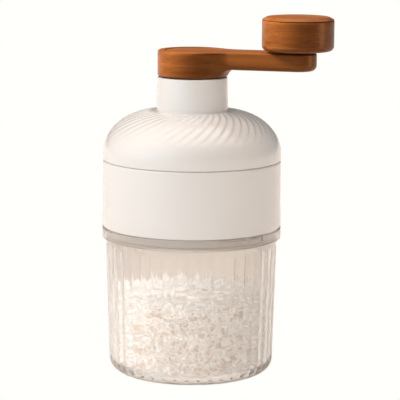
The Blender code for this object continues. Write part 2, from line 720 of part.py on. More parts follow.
def make_disc(parent):
    """The disc with its shred slots, held by screws on the body's ledge."""
    profile = ring(PILOT_RADIUS + RUNNING_GAP, DISC_RADIUS, DISC_BOTTOM, DISC_TOP)
    disc = turned("blade_disc", profile, LARGE_STEPS)
    for number, heading in enumerate(around(BLADE_COUNT), 1):
        slot = block(
            f"shred_slot_{number}",
            SLOT_LENGTH,
            SLOT_WIDTH,
            DISC_BOTTOM - CUT_OVER,
            DISC_TOP + CUT_OVER,
            polar(SLOT_START + SLOT_LENGTH / 2, heading),
            heading,
        )
        boolean(disc, slot)
        for end, place in enumerate(blade_screw_places(heading), 1):
            hole = cylinder(
                f"blade_hole_{number}_{end}",
                SCREW_SHANK_RADIUS + RUNNING_GAP,
                DISC_BOTTOM - CUT_OVER,
                DISC_TOP + CUT_OVER,
                place,
            )
            boolean(disc, hole)
    screw_top = DISC_TOP - SCREW_HEAD_SUNK
    for number, place in enumerate(disc_screw_places(), 1):
        cut_screw_hole(disc, f"disc_hole_{number}", place, screw_top, DISC_BOTTOM)
        screw_end = LEDGE_BOTTOM + SCREW_END_COVER
        add_screw(f"disc_screw_{number}", place, screw_top, screw_end, parent)
    as_part(disc, "white_inner", parent)


def make_blades(parent):
    """Toothed steel blades lying on the disc, their edges over the slots."""
    screw_top = BLADE_TOP - SCREW_HEAD_SUNK
    screw_end = DISC_BOTTOM + SCREW_END_COVER
    for number, heading in enumerate(around(BLADE_COUNT), 1):
        blade = plate(f"blade_{number}", blade_outline(), BLADE_BOTTOM, BLADE_TOP)
        blade.rotation_euler.z = math.radians(heading)
        for end, place in enumerate(blade_screw_places(heading), 1):
            hole_name = f"blade_seat_{number}_{end}"
            cut_screw_hole(blade, hole_name, place, screw_top, BLADE_BOTTOM)
            screw_number = 2 * (number - 1) + end
            add_screw(f"blade_screw_{screw_number}", place, screw_top, screw_end, parent)
        as_part(blade, "stainless", parent)


# ================================================================ lid, its seal and its bearing


def make_lid_seal(parent):
    """A flat silicone ring on the ledge in the body's mouth, under the lid's spigot."""
    seal = ring(
        SPIGOT_BORE + RUNNING_GAP,
        SPIGOT_RADIUS,
        BODY_MOUTH_LEDGE + SEAT_GAP,
        SPIGOT_BOTTOM - SEAT_GAP,
    )
    as_part(turned("lid_seal", seal, LARGE_STEPS), "silicone", parent)


def lid_profile():
    outside = arc(
        (NECK_FOOT_RADIUS, DOME_BOTTOM),
        (LID_RADIUS - NECK_FOOT_RADIUS, NECK_BOTTOM - DOME_BOTTOM),
        90,
        0,
        DOME_STEPS,
    )
    inside = arc(
        (NECK_BORE, DOME_BOTTOM),
        (SPIGOT_BORE - NECK_BORE, NECK_BOTTOM - LID_WALL - DOME_BOTTOM),
        0,
        90,
        DOME_STEPS,
    )
    roof_bottom = RECESS_FLOOR - NECK_ROOF
    return [
        (RECESS_RADIUS, NECK_TOP),
        (NECK_TOP_RADIUS - NECK_ROUNDING, NECK_TOP),
        (NECK_TOP_RADIUS, NECK_TOP - NECK_ROUNDING),
        *outside,
        (LID_RADIUS, LID_BOTTOM + LID_CHAMFER),
        (LID_RADIUS - LID_CHAMFER, LID_BOTTOM),
        (SPIGOT_RADIUS, LID_BOTTOM),
        (SPIGOT_RADIUS, SPIGOT_BOTTOM),
        (SPIGOT_BORE, SPIGOT_BOTTOM),
        *inside,
        (NECK_BORE, roof_bottom),
        (BOSS_RADIUS, roof_bottom),
        (BOSS_RADIUS, BOSS_BOTTOM),
        (BOSS_BORE, BOSS_BOTTOM),
        (BOSS_BORE, RECESS_FLOOR),
        (RECESS_RADIUS, RECESS_FLOOR),
    ]


def make_lid(parent):
    lid = turned("dome_lid", lid_profile(), LARGE_STEPS)
    add_lugs(lid, "lid", SPIGOT_RADIUS, SPIGOT_BOTTOM)
    as_part(lid, "white_shell", parent)


def make_bearing(parent):
    """A flanged bush in the neck's boss and the washer that the crank's hub runs over."""
    bush = [
        (BUSH_FLANGE_RADIUS, FLANGE_TOP),
        (BUSH_FLANGE_RADIUS, FLANGE_BOTTOM),
        (BUSH_RADIUS, FLANGE_BOTTOM),
        (BUSH_RADIUS, BUSH_BOTTOM),
        (BUSH_BORE, BUSH_BOTTOM),
        (BUSH_BORE, FLANGE_TOP),
    ]
    as_part(turned("neck_bush", bush, SMALL_STEPS), "nylon", parent)
    bottom = FLANGE_TOP + SEAT_GAP / 2
    washer = ring(BUSH_BORE, BUSH_FLANGE_RADIUS, bottom, bottom + THRUST_WASHER)
    as_part(turned("thrust_washer", washer, SMALL_STEPS), "nylon", parent)


# ================================================================ shaft and its clip


def make_shaft(parent):
    """One steel part: pilot, square for the pusher, collar, round journal and the crank's square."""
    profile = [
        (0.0, NECK_TOP),
        (JOURNAL_RADIUS, NECK_TOP),
        (JOURNAL_RADIUS, SHAFT_COLLAR_TOP),
        (SHAFT_COLLAR_RADIUS, SHAFT_COLLAR_TOP),
        (SHAFT_COLLAR_RADIUS, SHAFT_COLLAR_BOTTOM),
        (PILOT_RADIUS, SHAFT_COLLAR_BOTTOM),
        (PILOT_RADIUS, PILOT_BOTTOM),
        (0.0, PILOT_BOTTOM),
    ]
    shaft = turned("drive_shaft", profile, SMALL_STEPS, closed=False)
    lower = block(
        "shaft_square",
        SHAFT_SQUARE,
        SHAFT_SQUARE,
        SHAFT_SQUARE_BOTTOM,
        SHAFT_COLLAR_BOTTOM + CUT_OVER,
    )
    boolean(shaft, lower, "UNION")
    upper = block(
        "drive_square",
        DRIVE_SQUARE,
        DRIVE_SQUARE,
        NECK_TOP - CUT_OVER,
        DRIVE_TOP,
    )
    boolean(shaft, upper, "UNION")
    thread = cylinder(
        "crank_screw_thread",
        CRANK_SCREW_RADIUS + RUNNING_GAP,
        SCREW_SEAT - CRANK_SCREW_LENGTH - CUT_OVER,
        DRIVE_TOP + CUT_OVER,
    )
    boolean(shaft, thread)
    groove = ring(
        CLIP_GROOVE_RADIUS,
        SHAFT_SQUARE,
        CLIP_BOTTOM - SEAT_GAP,
        CLIP_TOP + SEAT_GAP,
    )
    boolean(shaft, turned("clip_groove", groove, SMALL_STEPS))
    as_part(shaft, "stainless", parent)


def make_clip(parent):
    """The retaining ring under the pusher, open towards -X."""
    end = 180.0 - CLIP_OPENING / 2
    clip = sector(
        "shaft_clip",
        CLIP_GROOVE_RADIUS + RUNNING_GAP,
        CLIP_RADIUS,
        CLIP_BOTTOM,
        CLIP_TOP,
        -end,
        end,
        CLIP_STEP_ANGLE,
    )
    as_part(clip, "stainless", parent)


# ================================================================ pusher and spring


def make_spike(name, place, heading):
    """A four-sided spike, point down, sunk halfway into the pusher's plate."""
    root = PLATE_BOTTOM + PUSHER_PLATE / 2
    bpy.ops.mesh.primitive_cone_add(
        vertices=4,
        radius1=SPIKE_RADIUS,
        radius2=SPIKE_RADIUS / 5,
        depth=root - SPIKE_TIP,
        location=(*place, (root + SPIKE_TIP) / 2),
        rotation=(math.pi, 0, math.radians(heading)),
    )
    spike = bpy.context.object
    spike.name = name
    return as_cutter(spike)


def make_pusher(parent):
    """A spiked plate on a hub with a square bore."""
    profile = [
        (0.0, PUSHER_HUB_TOP),
        (PUSHER_HUB_RADIUS, PUSHER_HUB_TOP),
        (PUSHER_HUB_RADIUS, PLATE_TOP),
        (PUSHER_RADIUS, PLATE_TOP),
        (PUSHER_RADIUS, PLATE_BOTTOM),
        (PUSHER_HUB_RADIUS, PLATE_BOTTOM),
        (PUSHER_HUB_RADIUS, PUSHER_HUB_BOTTOM),
        (0.0, PUSHER_HUB_BOTTOM),
    ]
    pusher = turned("pusher", profile, MEDIUM_STEPS, closed=False)
    side = SHAFT_SQUARE + 2 * RUNNING_GAP
    bottom = PUSHER_HUB_BOTTOM - CUT_OVER
    top = PUSHER_HUB_TOP + CUT_OVER
    boolean(pusher, block("pusher_bore", side, side, bottom, top))
    for row, (inset, count) in enumerate(SPIKE_ROWS, 1):
        for number, heading in enumerate(around(count), 1):
            place = polar(PUSHER_RADIUS - inset, heading)
            spike = make_spike(f"spike_{row}_{number}", place, heading)
            boolean(pusher, spike, "UNION")
    as_part(pusher, "white_inner", parent)


def make_spring(parent):
    """A compression spring from the pusher's hub to the shaft's collar."""
    bottom = PUSHER_HUB_TOP + SEAT_GAP + SPRING_WIRE / 2
    top = SHAFT_COLLAR_BOTTOM - SEAT_GAP - SPRING_WIRE / 2
    count = SPRING_TURNS * SPRING_STEPS
    curve = bpy.data.curves.new("spring", "CURVE")
    curve.dimensions = "3D"
    curve.bevel_depth = SPRING_WIRE / 2
    curve.bevel_resolution = 1
    curve.use_fill_caps = True
    spline = curve.splines.new("POLY")
    spline.points.add(count)
    for i, point in enumerate(spline.points):
        x, y = polar(SPRING_RADIUS, 360.0 * i / SPRING_STEPS)
        point.co = (x, y, bottom + (top - bottom) * i / count, 1.0)
    as_part(bpy.data.objects.new("spring", curve), "stainless", parent)


# ================================================================ crank


def arm_outline():
    """The hub's circle running into the arm by fillets, and the arm's round end."""
    half = ARM_WIDTH / 2
    blend_y = half + ARM_BLEND
    blend_x = math.sqrt((HUB_RADIUS + ARM_BLEND) ** 2 - blend_y**2)
    touch = math.degrees(math.atan2(blend_y, blend_x))
    hub = arc((0.0, 0.0), (HUB_RADIUS,) * 2, touch, 360.0 - touch, 28)
    lower = arc((blend_x, -blend_y), (ARM_BLEND,) * 2, 180.0 - touch, 90.0, 4)
    end = arc((CRANK_REACH, 0.0), (half,) * 2, -90.0, 90.0, 12)
    upper = arc((blend_x, blend_y), (ARM_BLEND,) * 2, -90.0, touch - 180.0, 4)
    return hub + lower[1:] + end + upper[:-1]


def cut_under_arm(arm):
    """Takes away what is under the arm, leaving the round hub and the flare where they meet."""
    far = CRANK_REACH + ARM_WIDTH
    drop = ARM_BOTTOM - HUB_BOTTOM
    under = [
        (far, ARM_BOTTOM),
        (far, HUB_BOTTOM - CUT_OVER),
        (HUB_RADIUS, HUB_BOTTOM - CUT_OVER),
        *arc((HUB_RADIUS + drop, HUB_BOTTOM), (drop, drop), 180.0, 90.0, 5),
    ]
    boolean(arm, turned("under_arm", under, MEDIUM_STEPS))


def cut_hub(arm):
    """The hub's ring pocket below, and above it the well for the cap, the washer and the screw."""
    pocket = ring(
        HUB_CORE_RADIUS,
        HUB_RADIUS - HUB_WALL,
        HUB_BOTTOM - CUT_OVER,
        HUB_POCKET_TOP,
    )
    boolean(arm, turned("hub_pocket", pocket, SMALL_STEPS))
    cap_bore = CAP_RADIUS + RUNNING_GAP
    washer_bore = CRANK_WASHER_RADIUS + RUNNING_GAP
    screw_bore = CRANK_SCREW_RADIUS + RUNNING_GAP
    well = [
        (0.0, CRANK_TOP + CUT_OVER),
        (cap_bore, CRANK_TOP + CUT_OVER),
        (cap_bore, CAP_FLOOR),
        (washer_bore, CAP_FLOOR),
        (washer_bore, WEB_TOP),
        (screw_bore, WEB_TOP),
        (screw_bore, WEB_BOTTOM - CUT_OVER),
        (0.0, WEB_BOTTOM - CUT_OVER),
    ]
    boolean(arm, turned("cap_well", well, MEDIUM_STEPS, closed=False))
    side = DRIVE_SQUARE + 2 * RUNNING_GAP
    socket = block("drive_socket", side, side, HUB_BOTTOM - CUT_OVER, WEB_BOTTOM)
    boolean(arm, socket)


def make_crank_arm(parent):
    arm = plate("crank_arm", arm_outline(), HUB_BOTTOM, CRANK_TOP, ARM_EDGE)
    cut_under_arm(arm)
    cut_hub(arm)
    thread = cylinder(
        "axle_hole",
        AXLE_THREAD_RADIUS + RUNNING_GAP,
        CRANK_TOP - AXLE_THREAD - SEAT_GAP,
        CRANK_TOP + CUT_OVER,
        (CRANK_REACH, 0.0),
    )
    boolean(arm, thread)
    as_part(arm, "brown_handle", parent)


def make_crank_fixings(parent):
    """The screw and washer that hold the crank on the shaft, and the cap over them."""
    bore = CRANK_SCREW_RADIUS + RUNNING_GAP
    washer = ring(bore, CRANK_WASHER_RADIUS, WASHER_BOTTOM, WASHER_TOP)
    as_part(turned("crank_washer", washer, SMALL_STEPS), "stainless", parent)
    profile = [
        (0.0, SCREW_HEAD_TOP),
        (CRANK_SCREW_HEAD_RADIUS - CAP_CHAMFER, SCREW_HEAD_TOP),
        (CRANK_SCREW_HEAD_RADIUS, SCREW_HEAD_TOP - CAP_CHAMFER),
        (CRANK_SCREW_HEAD_RADIUS, SCREW_SEAT),
        (CRANK_SCREW_RADIUS, SCREW_SEAT),
        (CRANK_SCREW_RADIUS, SCREW_SEAT - CRANK_SCREW_LENGTH),
        (0.0, SCREW_SEAT - CRANK_SCREW_LENGTH),
    ]
    screw = turned("crank_screw", profile, TINY_STEPS, closed=False)
    socket = cylinder(
        "crank_screw_socket",
        CRANK_SCREW_HEX_RADIUS,
        SCREW_HEAD_TOP - HEX_DEPTH,
        SCREW_HEAD_TOP + CUT_OVER,
        sides=6,
    )
    boolean(screw, socket)
    as_part(screw, "stainless", parent)
    cap = [
        (0.0, CRANK_TOP),
        (CAP_RADIUS - CAP_CHAMFER, CRANK_TOP),
        (CAP_RADIUS, CRANK_TOP - CAP_CHAMFER),
        (CAP_RADIUS, CAP_FLOOR + SEAT_GAP),
        (0.0, CAP_FLOOR + SEAT_GAP),
    ]
    cap = turned("crank_cap", cap, MEDIUM_STEPS, closed=False)
    as_part(cap, "brown_handle", parent)


# ================================================================ knob


def make_axle(parent):
    """The shoulder screw that the knob turns on, and the washer under the knob."""
    head_top = AXLE_HEAD_BOTTOM + AXLE_HEAD
    profile = [
        (0.0, head_top),
        (AXLE_HEAD_RADIUS, head_top),
        (AXLE_HEAD_RADIUS, AXLE_HEAD_BOTTOM),
        (AXLE_RADIUS, AXLE_HEAD_BOTTOM),
        (AXLE_RADIUS, AXLE_SHOULDER),
        (AXLE_THREAD_RADIUS, AXLE_SHOULDER),
        (AXLE_THREAD_RADIUS, CRANK_TOP - AXLE_THREAD),
        (0.0, CRANK_TOP - AXLE_THREAD),
    ]
    axle = turned("knob_axle", profile, SMALL_STEPS, closed=False)
    axle.location.x = CRANK_REACH
    socket = cylinder(
        "axle_socket",
        AXLE_HEX_RADIUS,
        head_top - HEX_DEPTH,
        head_top + CUT_OVER,
        (CRANK_REACH, 0.0),
        sides=6,
    )
    boolean(axle, socket)
    as_part(axle, "stainless", parent)
    bore = AXLE_RADIUS + RUNNING_GAP
    profile = ring(bore, KNOB_WASHER_RADIUS, AXLE_SHOULDER, KNOB_BOTTOM - SEAT_GAP)
    washer = turned("knob_washer", profile, SMALL_STEPS)
    washer.location.x = CRANK_REACH
    as_part(washer, "nylon", parent)


def make_knob(parent):
    """A hollow body with a core round the axle, and the cap that closes it."""
    bore = AXLE_RADIUS + RUNNING_GAP
    floor = KNOB_BOTTOM + KNOB_FLOOR
    pocket_floor = KNOB_BOTTOM + KNOB_POCKET_FLOOR
    foot_centre = (KNOB_RADIUS - KNOB_FOOT, KNOB_BOTTOM + KNOB_FOOT)
    body = [
        (KNOB_RADIUS, KNOB_TOP),
        *arc(foot_centre, (KNOB_FOOT,) * 2, 0, -90, 4),
        (bore, KNOB_BOTTOM),
        (bore, floor),
        (KNOB_CAVITY_RADIUS, floor),
        (KNOB_CAVITY_RADIUS, KNOB_TOP),
        (KNOB_CORE_RADIUS, KNOB_TOP),
        (KNOB_CORE_RADIUS, pocket_floor),
        (KNOB_RADIUS - KNOB_SHELL, pocket_floor),
        (KNOB_RADIUS - KNOB_SHELL, KNOB_TOP),
    ]
    as_part(turned("knob_body", body, MEDIUM_STEPS), "brown_handle", parent)
    top = KNOB_CAP_BOTTOM + KNOB_CAP_HEIGHT
    plug = KNOB_CAVITY_RADIUS - RUNNING_GAP
    plug_bottom = KNOB_CAP_BOTTOM - KNOB_CAP_PLUG
    cap = [
        (0.0, top),
        (KNOB_RADIUS - KNOB_CAP_CHAMFER, top - KNOB_CAP_CROWN),
        (KNOB_RADIUS, KNOB_CAP_BOTTOM),
        (plug, KNOB_CAP_BOTTOM),
        (plug, plug_bottom),
        (0.0, plug_bottom),
    ]
    cap = turned("knob_cap", cap, MEDIUM_STEPS, closed=False)
    as_part(cap, "brown_handle", parent)


def main():
    clear_scene()
    jar_seal_axis = axis_empty("jar_seal_axis")
    body_axis = axis_empty("body_axis", jar_seal_axis)
    lid_seal_axis = axis_empty("lid_seal_axis", body_axis)
    lid_axis = axis_empty("lid_axis", lid_seal_axis)
    crank_axis = axis_empty("crank_axis", lid_axis)
    pusher_axis = axis_empty("pusher_axis", crank_axis)
    knob_axis = axis_empty("knob_axis", crank_axis, CRANK_REACH)
    make_jar()
    make_jar_seal(jar_seal_axis)
    make_body(body_axis)
    make_disc(body_axis)
    make_blades(body_axis)
    make_lid_seal(lid_seal_axis)
    make_lid(lid_axis)
    make_bearing(lid_axis)
    make_shaft(crank_axis)
    make_clip(crank_axis)
    make_spring(crank_axis)
    make_crank_arm(crank_axis)
    make_crank_fixings(crank_axis)
    make_axle(crank_axis)
    make_pusher(pusher_axis)
    make_knob(knob_axis)


main()
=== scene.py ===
"""Looks of the rotary grater: fine meshes, materials, contents, light and camera.

Every size that the frame can give is read from it. The rest, such as walls, are named
here in metres, and roundings are in millimetres. Each fine piece stands for one CAD
node, rides on that node's body and takes that node's material slot.
"""

import json
import math

import bmesh
import bpy
import numpy as np
from mathutils import Matrix, Vector

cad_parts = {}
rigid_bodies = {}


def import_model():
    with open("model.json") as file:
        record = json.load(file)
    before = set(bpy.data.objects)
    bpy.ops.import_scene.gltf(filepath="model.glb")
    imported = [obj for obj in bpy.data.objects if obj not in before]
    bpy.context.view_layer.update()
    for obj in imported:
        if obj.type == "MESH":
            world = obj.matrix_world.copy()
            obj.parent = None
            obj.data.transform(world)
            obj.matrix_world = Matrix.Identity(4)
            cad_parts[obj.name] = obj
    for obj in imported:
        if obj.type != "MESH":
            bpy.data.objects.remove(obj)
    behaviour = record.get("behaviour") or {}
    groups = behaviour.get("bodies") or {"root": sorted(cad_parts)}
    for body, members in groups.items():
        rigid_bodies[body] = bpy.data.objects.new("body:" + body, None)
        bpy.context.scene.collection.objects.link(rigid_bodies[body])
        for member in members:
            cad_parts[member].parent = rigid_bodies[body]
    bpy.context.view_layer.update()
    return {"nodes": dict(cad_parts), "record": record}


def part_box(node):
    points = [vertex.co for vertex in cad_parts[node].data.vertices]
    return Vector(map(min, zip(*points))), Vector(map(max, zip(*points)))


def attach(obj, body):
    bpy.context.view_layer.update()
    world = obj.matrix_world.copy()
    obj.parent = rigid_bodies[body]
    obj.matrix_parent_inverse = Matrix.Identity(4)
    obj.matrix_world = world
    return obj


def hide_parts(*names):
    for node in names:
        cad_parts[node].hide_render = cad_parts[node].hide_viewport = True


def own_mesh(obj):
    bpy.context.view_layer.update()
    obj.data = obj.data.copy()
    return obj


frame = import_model()

MM = 0.001
FIT_GAP = 0.3 * MM
RECORD = frame["record"]
LOW = {name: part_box(name)[0] for name in frame["nodes"]}
HIGH = {name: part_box(name)[1] for name in frame["nodes"]}
BODY_OF = {n: body for body, names in RECORD["behaviour"]["bodies"].items() for n in names}
SLOT_OF = {part["node"]: part["material_slot"] for part in RECORD["subparts"]}

# ---- jar
COLLAR_RADIUS = HIGH["jar"].x
JAR_TOP = HIGH["jar"].z
COLLAR_HEIGHT = 7.6 * MM
COLLAR_STEP = 2.4 * MM
COLLAR_WALL = 2.8 * MM
JAR_TAPER = 2.4 * MM
JAR_WALL = 2.6 * MM
JAR_FLOOR = 3.6 * MM
FOOT_RADIUS = 9.0 * MM
MOUTH_DEPTH = 6.8 * MM
REED_COUNT = 44
REED_DEPTH = 0.7 * MM
REED_MARGIN = 3.6 * MM
REED_RUN_OUT = 1.6 * MM
REED_COLUMNS = 14  # columns of the mesh in each reed
MOUTH_RADIUS = COLLAR_RADIUS - COLLAR_WALL
COLLAR_BOTTOM = JAR_TOP - COLLAR_HEIGHT
MOUTH_LEDGE = JAR_TOP - MOUTH_DEPTH
REED_TOP = COLLAR_BOTTOM - REED_MARGIN
SHOULDER_RADIUS = COLLAR_RADIUS - COLLAR_STEP
BASE_RADIUS = SHOULDER_RADIUS - JAR_TAPER

# ---- body
FLARE_RADIUS = HIGH["grater_body"].x
BODY_TOP = HIGH["grater_body"].z
SKIRT_BOTTOM = LOW["grater_body"].z
BODY_RADIUS = HIGH["dome_lid"].x
BODY_FOOT = SKIRT_BOTTOM + 5.3 * MM
BODY_BORE = BODY_RADIUS - 3.7 * MM
BODY_MOUTH_RADIUS = BODY_RADIUS - 2.4 * MM
BODY_MOUTH_LEDGE = BODY_TOP - 6.8 * MM
SKIRT_RADIUS = MOUTH_RADIUS - FIT_GAP
SKIRT_BORE = SKIRT_RADIUS - 2.5 * MM
LEDGE_BORE = SKIRT_BORE - 7.7 * MM
LEDGE_TOP = BODY_FOOT - 1.7 * MM
LEDGE_BOTTOM = LEDGE_TOP - 2.2 * MM
SEAT_TOP = LEDGE_TOP + 4.5 * MM
FLARE_START = 6.3 * MM
FLARE_END = 17.3 * MM

# ---- twist locks
LOCK_HEADING = 90.0
LOCK_PITCH = 120.0
LOCK_ANGLE = 20.0
LUG_HALF_ANGLE = 5.0
ENTRY_HALF_ANGLE = 6.0
LUG_RISE = 1.2 * MM
LUG_HEIGHT = 1.8 * MM
LUG_REACH = 1.3 * MM
LUG_PLAY = 0.3 * MM

# ---- lid
LID_BOTTOM = BODY_TOP + 0.2 * MM
SPIGOT_BOTTOM = LOW["dome_lid"].z
SPIGOT_RADIUS = BODY_MOUTH_RADIUS - FIT_GAP
SPIGOT_BORE = SPIGOT_RADIUS - 2.0 * MM
DOME_BOTTOM = BODY_TOP + 4.6 * MM
NECK_TOP = HIGH["dome_lid"].z
NECK_BOTTOM = NECK_TOP - 22.2 * MM
NECK_TOP_RADIUS = 23.2 * MM
NECK_FOOT_RADIUS = NECK_TOP_RADIUS + 0.55 * MM
LID_WALL = 2.6 * MM
NECK_BORE = NECK_FOOT_RADIUS - LID_WALL
RECESS_RADIUS = HIGH["thrust_washer"].x + FIT_GAP
RECESS_FLOOR = HIGH["neck_bush"].z - 1.5 * MM
BOSS_BORE = RECESS_RADIUS - 3.0 * MM
BOSS_RADIUS = BOSS_BORE + 2.0 * MM
BOSS_BOTTOM = LOW["neck_bush"].z + 0.4 * MM
FLUTE_COUNT = 44
FLUTE_DEPTH = 0.44 * MM
FLUTE_SWIRL = 0.57  # degrees of heading for each degree down the dome
FLUTE_COLUMNS = 12

# ---- crank and knob
CRANK_TOP = HIGH["crank_arm"].z
HUB_BOTTOM = LOW["crank_arm"].z
HUB_RADIUS = NECK_TOP_RADIUS
ARM_BOTTOM = CRANK_TOP - 11.8 * MM
ARM_HALF = 12.5 * MM
CRANK_REACH = HIGH["crank_arm"].x - ARM_HALF
ARM_BLEND = 7.0 * MM
ARM_FOOT_ROUNDING = 4.0 * MM
CRANK_EDGE = 1.3 * MM
ARM_VOXEL = 0.7 * MM
CAP_RADIUS = HIGH["crank_cap"].x
CAP_FLOOR = LOW["crank_cap"].z - FIT_GAP
HUB_CORE_RADIUS = 11.0 * MM
HUB_WALL = 3.2 * MM
KNOB_RADIUS = HIGH["knob_body"].x - CRANK_REACH

# ---- contents, light and camera
HEAP_HEIGHT = 50.0 * MM
HEAP_RADIUS = 53.5 * MM
HEAP_HEADING = math.radians(20.0)  # the heap leans up towards this side of the front
FLAKE_COUNT = 5600
FLAKE_STATIONS = 5
# painted glow: the tint of the light that the shreds give off, though they are no lamp
PAINTED_GLOW_TINT = (0.93, 0.97, 1.0, 1.0)
SEED = 11
CAMERA_AZIMUTH = 15.0
CAMERA_DISTANCE = 1.294
CAMERA_HEIGHT = 0.3345
CAMERA_SIDE = 0.00552  # the axis stands this far left of the picture's centre
CAMERA_PITCH = 9.62
CAMERA_ROLL = 0.4
CAMERA_LENS = 176.4
SENSOR = 36.0

# Strengths and tints of the surroundings every 30 degrees, from behind by the left to the right.
WARM = (1.0, 0.78, 0.68)
PALE = (1.0, 0.95, 0.92)
COOL = (0.75, 0.98, 1.15)
LOW_RING = [
    (0.15, PALE), (0.25, WARM), (0.80, WARM), (1.50, PALE), (1.70, COOL), (0.95, COOL),
    (0.15, COOL), (0.10, WARM), (0.10, WARM), (0.20, WARM), (0.30, COOL), (0.25, COOL),
]
HIGH_RING = [
    (0.10, WARM), (0.15, WARM), (0.60, WARM), (1.55, PALE), (1.90, PALE), (1.35, PALE),
    (0.45, PALE), (0.10, WARM), (0.10, WARM), (0.25, WARM), (0.30, PALE), (0.25, PALE),
]
CEILING = (2.2, 1.95, 1.75, 1.0)
PAPER = (1.0, 1.0, 0.965, 1.0)
FLOOR_RADIUS = 14.0


# ======== shapes


def rounded(corners, closed=True, steps=5):
    """An outline of (x, y) corners. A third value is the corner's rounding in millimetres."""
    points = []
    count = len(corners)
    for i, (x, y, *radius) in enumerate(corners):
        here = Vector((x, y))
        if not radius or (not closed and i in (0, count - 1)):
            points.append((x, y))
            continue
        back = (Vector(corners[i - 1][:2]) - here).normalized()
        ahead = (Vector(corners[(i + 1) % count][:2]) - here).normalized()
        half = back.angle(ahead) / 2
        size = radius[0] * MM
        centre = here + (back + ahead).normalized() * size / math.sin(half)
        start = here + back * size / math.tan(half) - centre
        end = here + ahead * size / math.tan(half) - centre
        turn = start.angle(end)
        for k in range(steps + 1):
            share = k / steps
            spoke = start * math.sin((1 - share) * turn) + end * math.sin(share * turn)
            points.append(tuple(centre + spoke / math.sin(turn)))
    return points


def open_line(corners, steps=5):
    """A rounded outline that doesn't close."""
    return rounded(corners, closed=False, steps=steps)


def arc(centre, radii, start, end, count):
    """Points on an ellipse from start to end, in degrees."""
    angles = np.radians(np.linspace(start, end, count + 1))
    x = centre[0] + radii[0] * np.cos(angles)
    y = centre[1] + radii[1] * np.sin(angles)
    return list(zip(x.tolist(), y.tolist(), strict=True))


def new_mesh(name, vertices, faces):
    """An object of these vertices and faces, welded, with its faces pointing out."""
    mesh = bpy.data.meshes.new(name)
    mesh.from_pydata(vertices, [], faces)
    shape = bmesh.new()
    shape.from_mesh(mesh)
    bmesh.ops.remove_doubles(shape, verts=shape.verts, dist=0.000001)
    bmesh.ops.recalc_face_normals(shape, faces=shape.faces)
    shape.to_mesh(mesh)
    shape.free()
    return linked(name, mesh)


def lathe(name, profile, steps=128, form=None, centre=(0.0, 0.0), sweep=(0.0, 360.0)):
    """A profile of (radius, height) points turned about an upright axis.

    A profile that isn't a loop starts and ends on the axis. form takes the radii,
    heights and headings of the vertices and gives new radii and heights.
    """
    rows = np.array(profile)
    loop = rows[0, 0] > 0 or rows[-1, 0] > 0
    full = sweep[1] - sweep[0] == 360.0
    headings = np.linspace(*sweep, steps + 1)[: steps if full else steps + 1]
    radius, heading = np.meshgrid(rows[:, 0], headings, indexing="ij")
    height = np.repeat(rows[:, 1:], len(headings), axis=1)
    if form:
        radius, height = form(radius, height, heading)
    turn = np.radians(heading)
    x = centre[0] + radius * np.cos(turn)
    y = centre[1] + radius * np.sin(turn)
    vertices = np.stack((x, y, height), axis=-1).reshape(-1, 3)
    columns = len(headings)
    faces = []
    for i in range(len(rows) if loop else len(rows) - 1):
        upper, lower = i * columns, (i + 1) % len(rows) * columns
        for j in range(columns if full else columns - 1):
            k = (j + 1) % columns
            faces.append((upper + j, lower + j, lower + k, upper + k))
    if not full:
        for j in (0, columns - 1):
            faces.append([i * columns + j for i in range(len(rows))])
    return new_mesh(name, vertices.tolist(), faces)


def box(name, size, centre):
    """A block that is only there to cut or join."""
    bpy.ops.mesh.primitive_cube_add(size=1.0, location=centre)
    obj = bpy.context.object
    obj.name = name
    obj.scale = size
    return obj


def joined(name, objects):
    """Several shapes that don't touch, as one object."""
    shape = bmesh.new()
    bpy.context.view_layer.update()
    for obj in objects:
        mesh = obj.data.copy()
        mesh.transform(obj.matrix_world)
        shape.from_mesh(mesh)
        bpy.data.meshes.remove(mesh)
        bpy.data.objects.remove(obj)
    made = bpy.data.meshes.new(name)
    shape.to_mesh(made)
    shape.free()
    return linked(name, made)


def carve(obj, other, operation="DIFFERENCE"):
    """Cuts another shape out of obj, or joins it on, and removes the other shape."""
    modifier = obj.modifiers.new("carve", "BOOLEAN")
    modifier.operation = operation
    modifier.object = other
    baked(obj)
    bpy.data.objects.remove(other)


def evaluated(obj):
    """The mesh that an object shows."""
    bpy.context.view_layer.update()
    graph = bpy.context.evaluated_depsgraph_get()
    return bpy.data.meshes.new_from_object(obj.evaluated_get(graph))


def baked(obj):
    """Applies an object's modifiers."""
    mesh = evaluated(obj)
    obj.modifiers.clear()
    obj.data = mesh
    return obj


def linked(name, data):
    """A new object of this data, in the scene."""
    obj = bpy.data.objects.new(name, data)
    bpy.context.scene.collection.objects.link(obj)
    return obj


def settle(obj, node, sharp=28.0):
    """Shades a fine piece and puts it in the place of its CAD node."""
    mesh = obj.data
    mesh.materials.clear()
    mesh.materials.append(FINISH[SLOT_OF[node]])
    mesh.polygons.foreach_set("material_index", [0] * len(mesh.polygons))
    mesh.shade_smooth()
    mesh.set_sharp_from_angle(angle=math.radians(sharp))
    obj.name = f"{node}_fine"
    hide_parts(node)
    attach(obj, BODY_OF[node])


def extent(node):
    """A round node's outer radius, bottom and top, wherever it stands."""
    low, high = LOW[node], HIGH[node]
    return (high.x - low.x) / 2, low.z, high.z


def ease(value, start, end):
    """0 before start, 1 after end, and a smooth rise between."""
    share = np.clip((value - start) / (end - start), 0.0, 1.0)
    return share * share * (3 - 2 * share)


def lock_offset(heading):
    """Degrees from the nearest of the three lock headings."""
    half = LOCK_PITCH / 2
    return (heading - LOCK_HEADING + half) % LOCK_PITCH - half


def lug_side(radius, high, low, lug_bottom):
    """A straight side from high to low, with the rows that a lug's flanks need."""
    lug_top, step = lug_bottom + LUG_HEIGHT, 0.25 * MM
    rows = [lug_top + step, lug_top, lug_top - step, lug_bottom + LUG_HEIGHT / 2]
    rows += [lug_bottom + step, lug_bottom, lug_bottom - step]
    return [(radius, z) for z in rows if low < z < high]


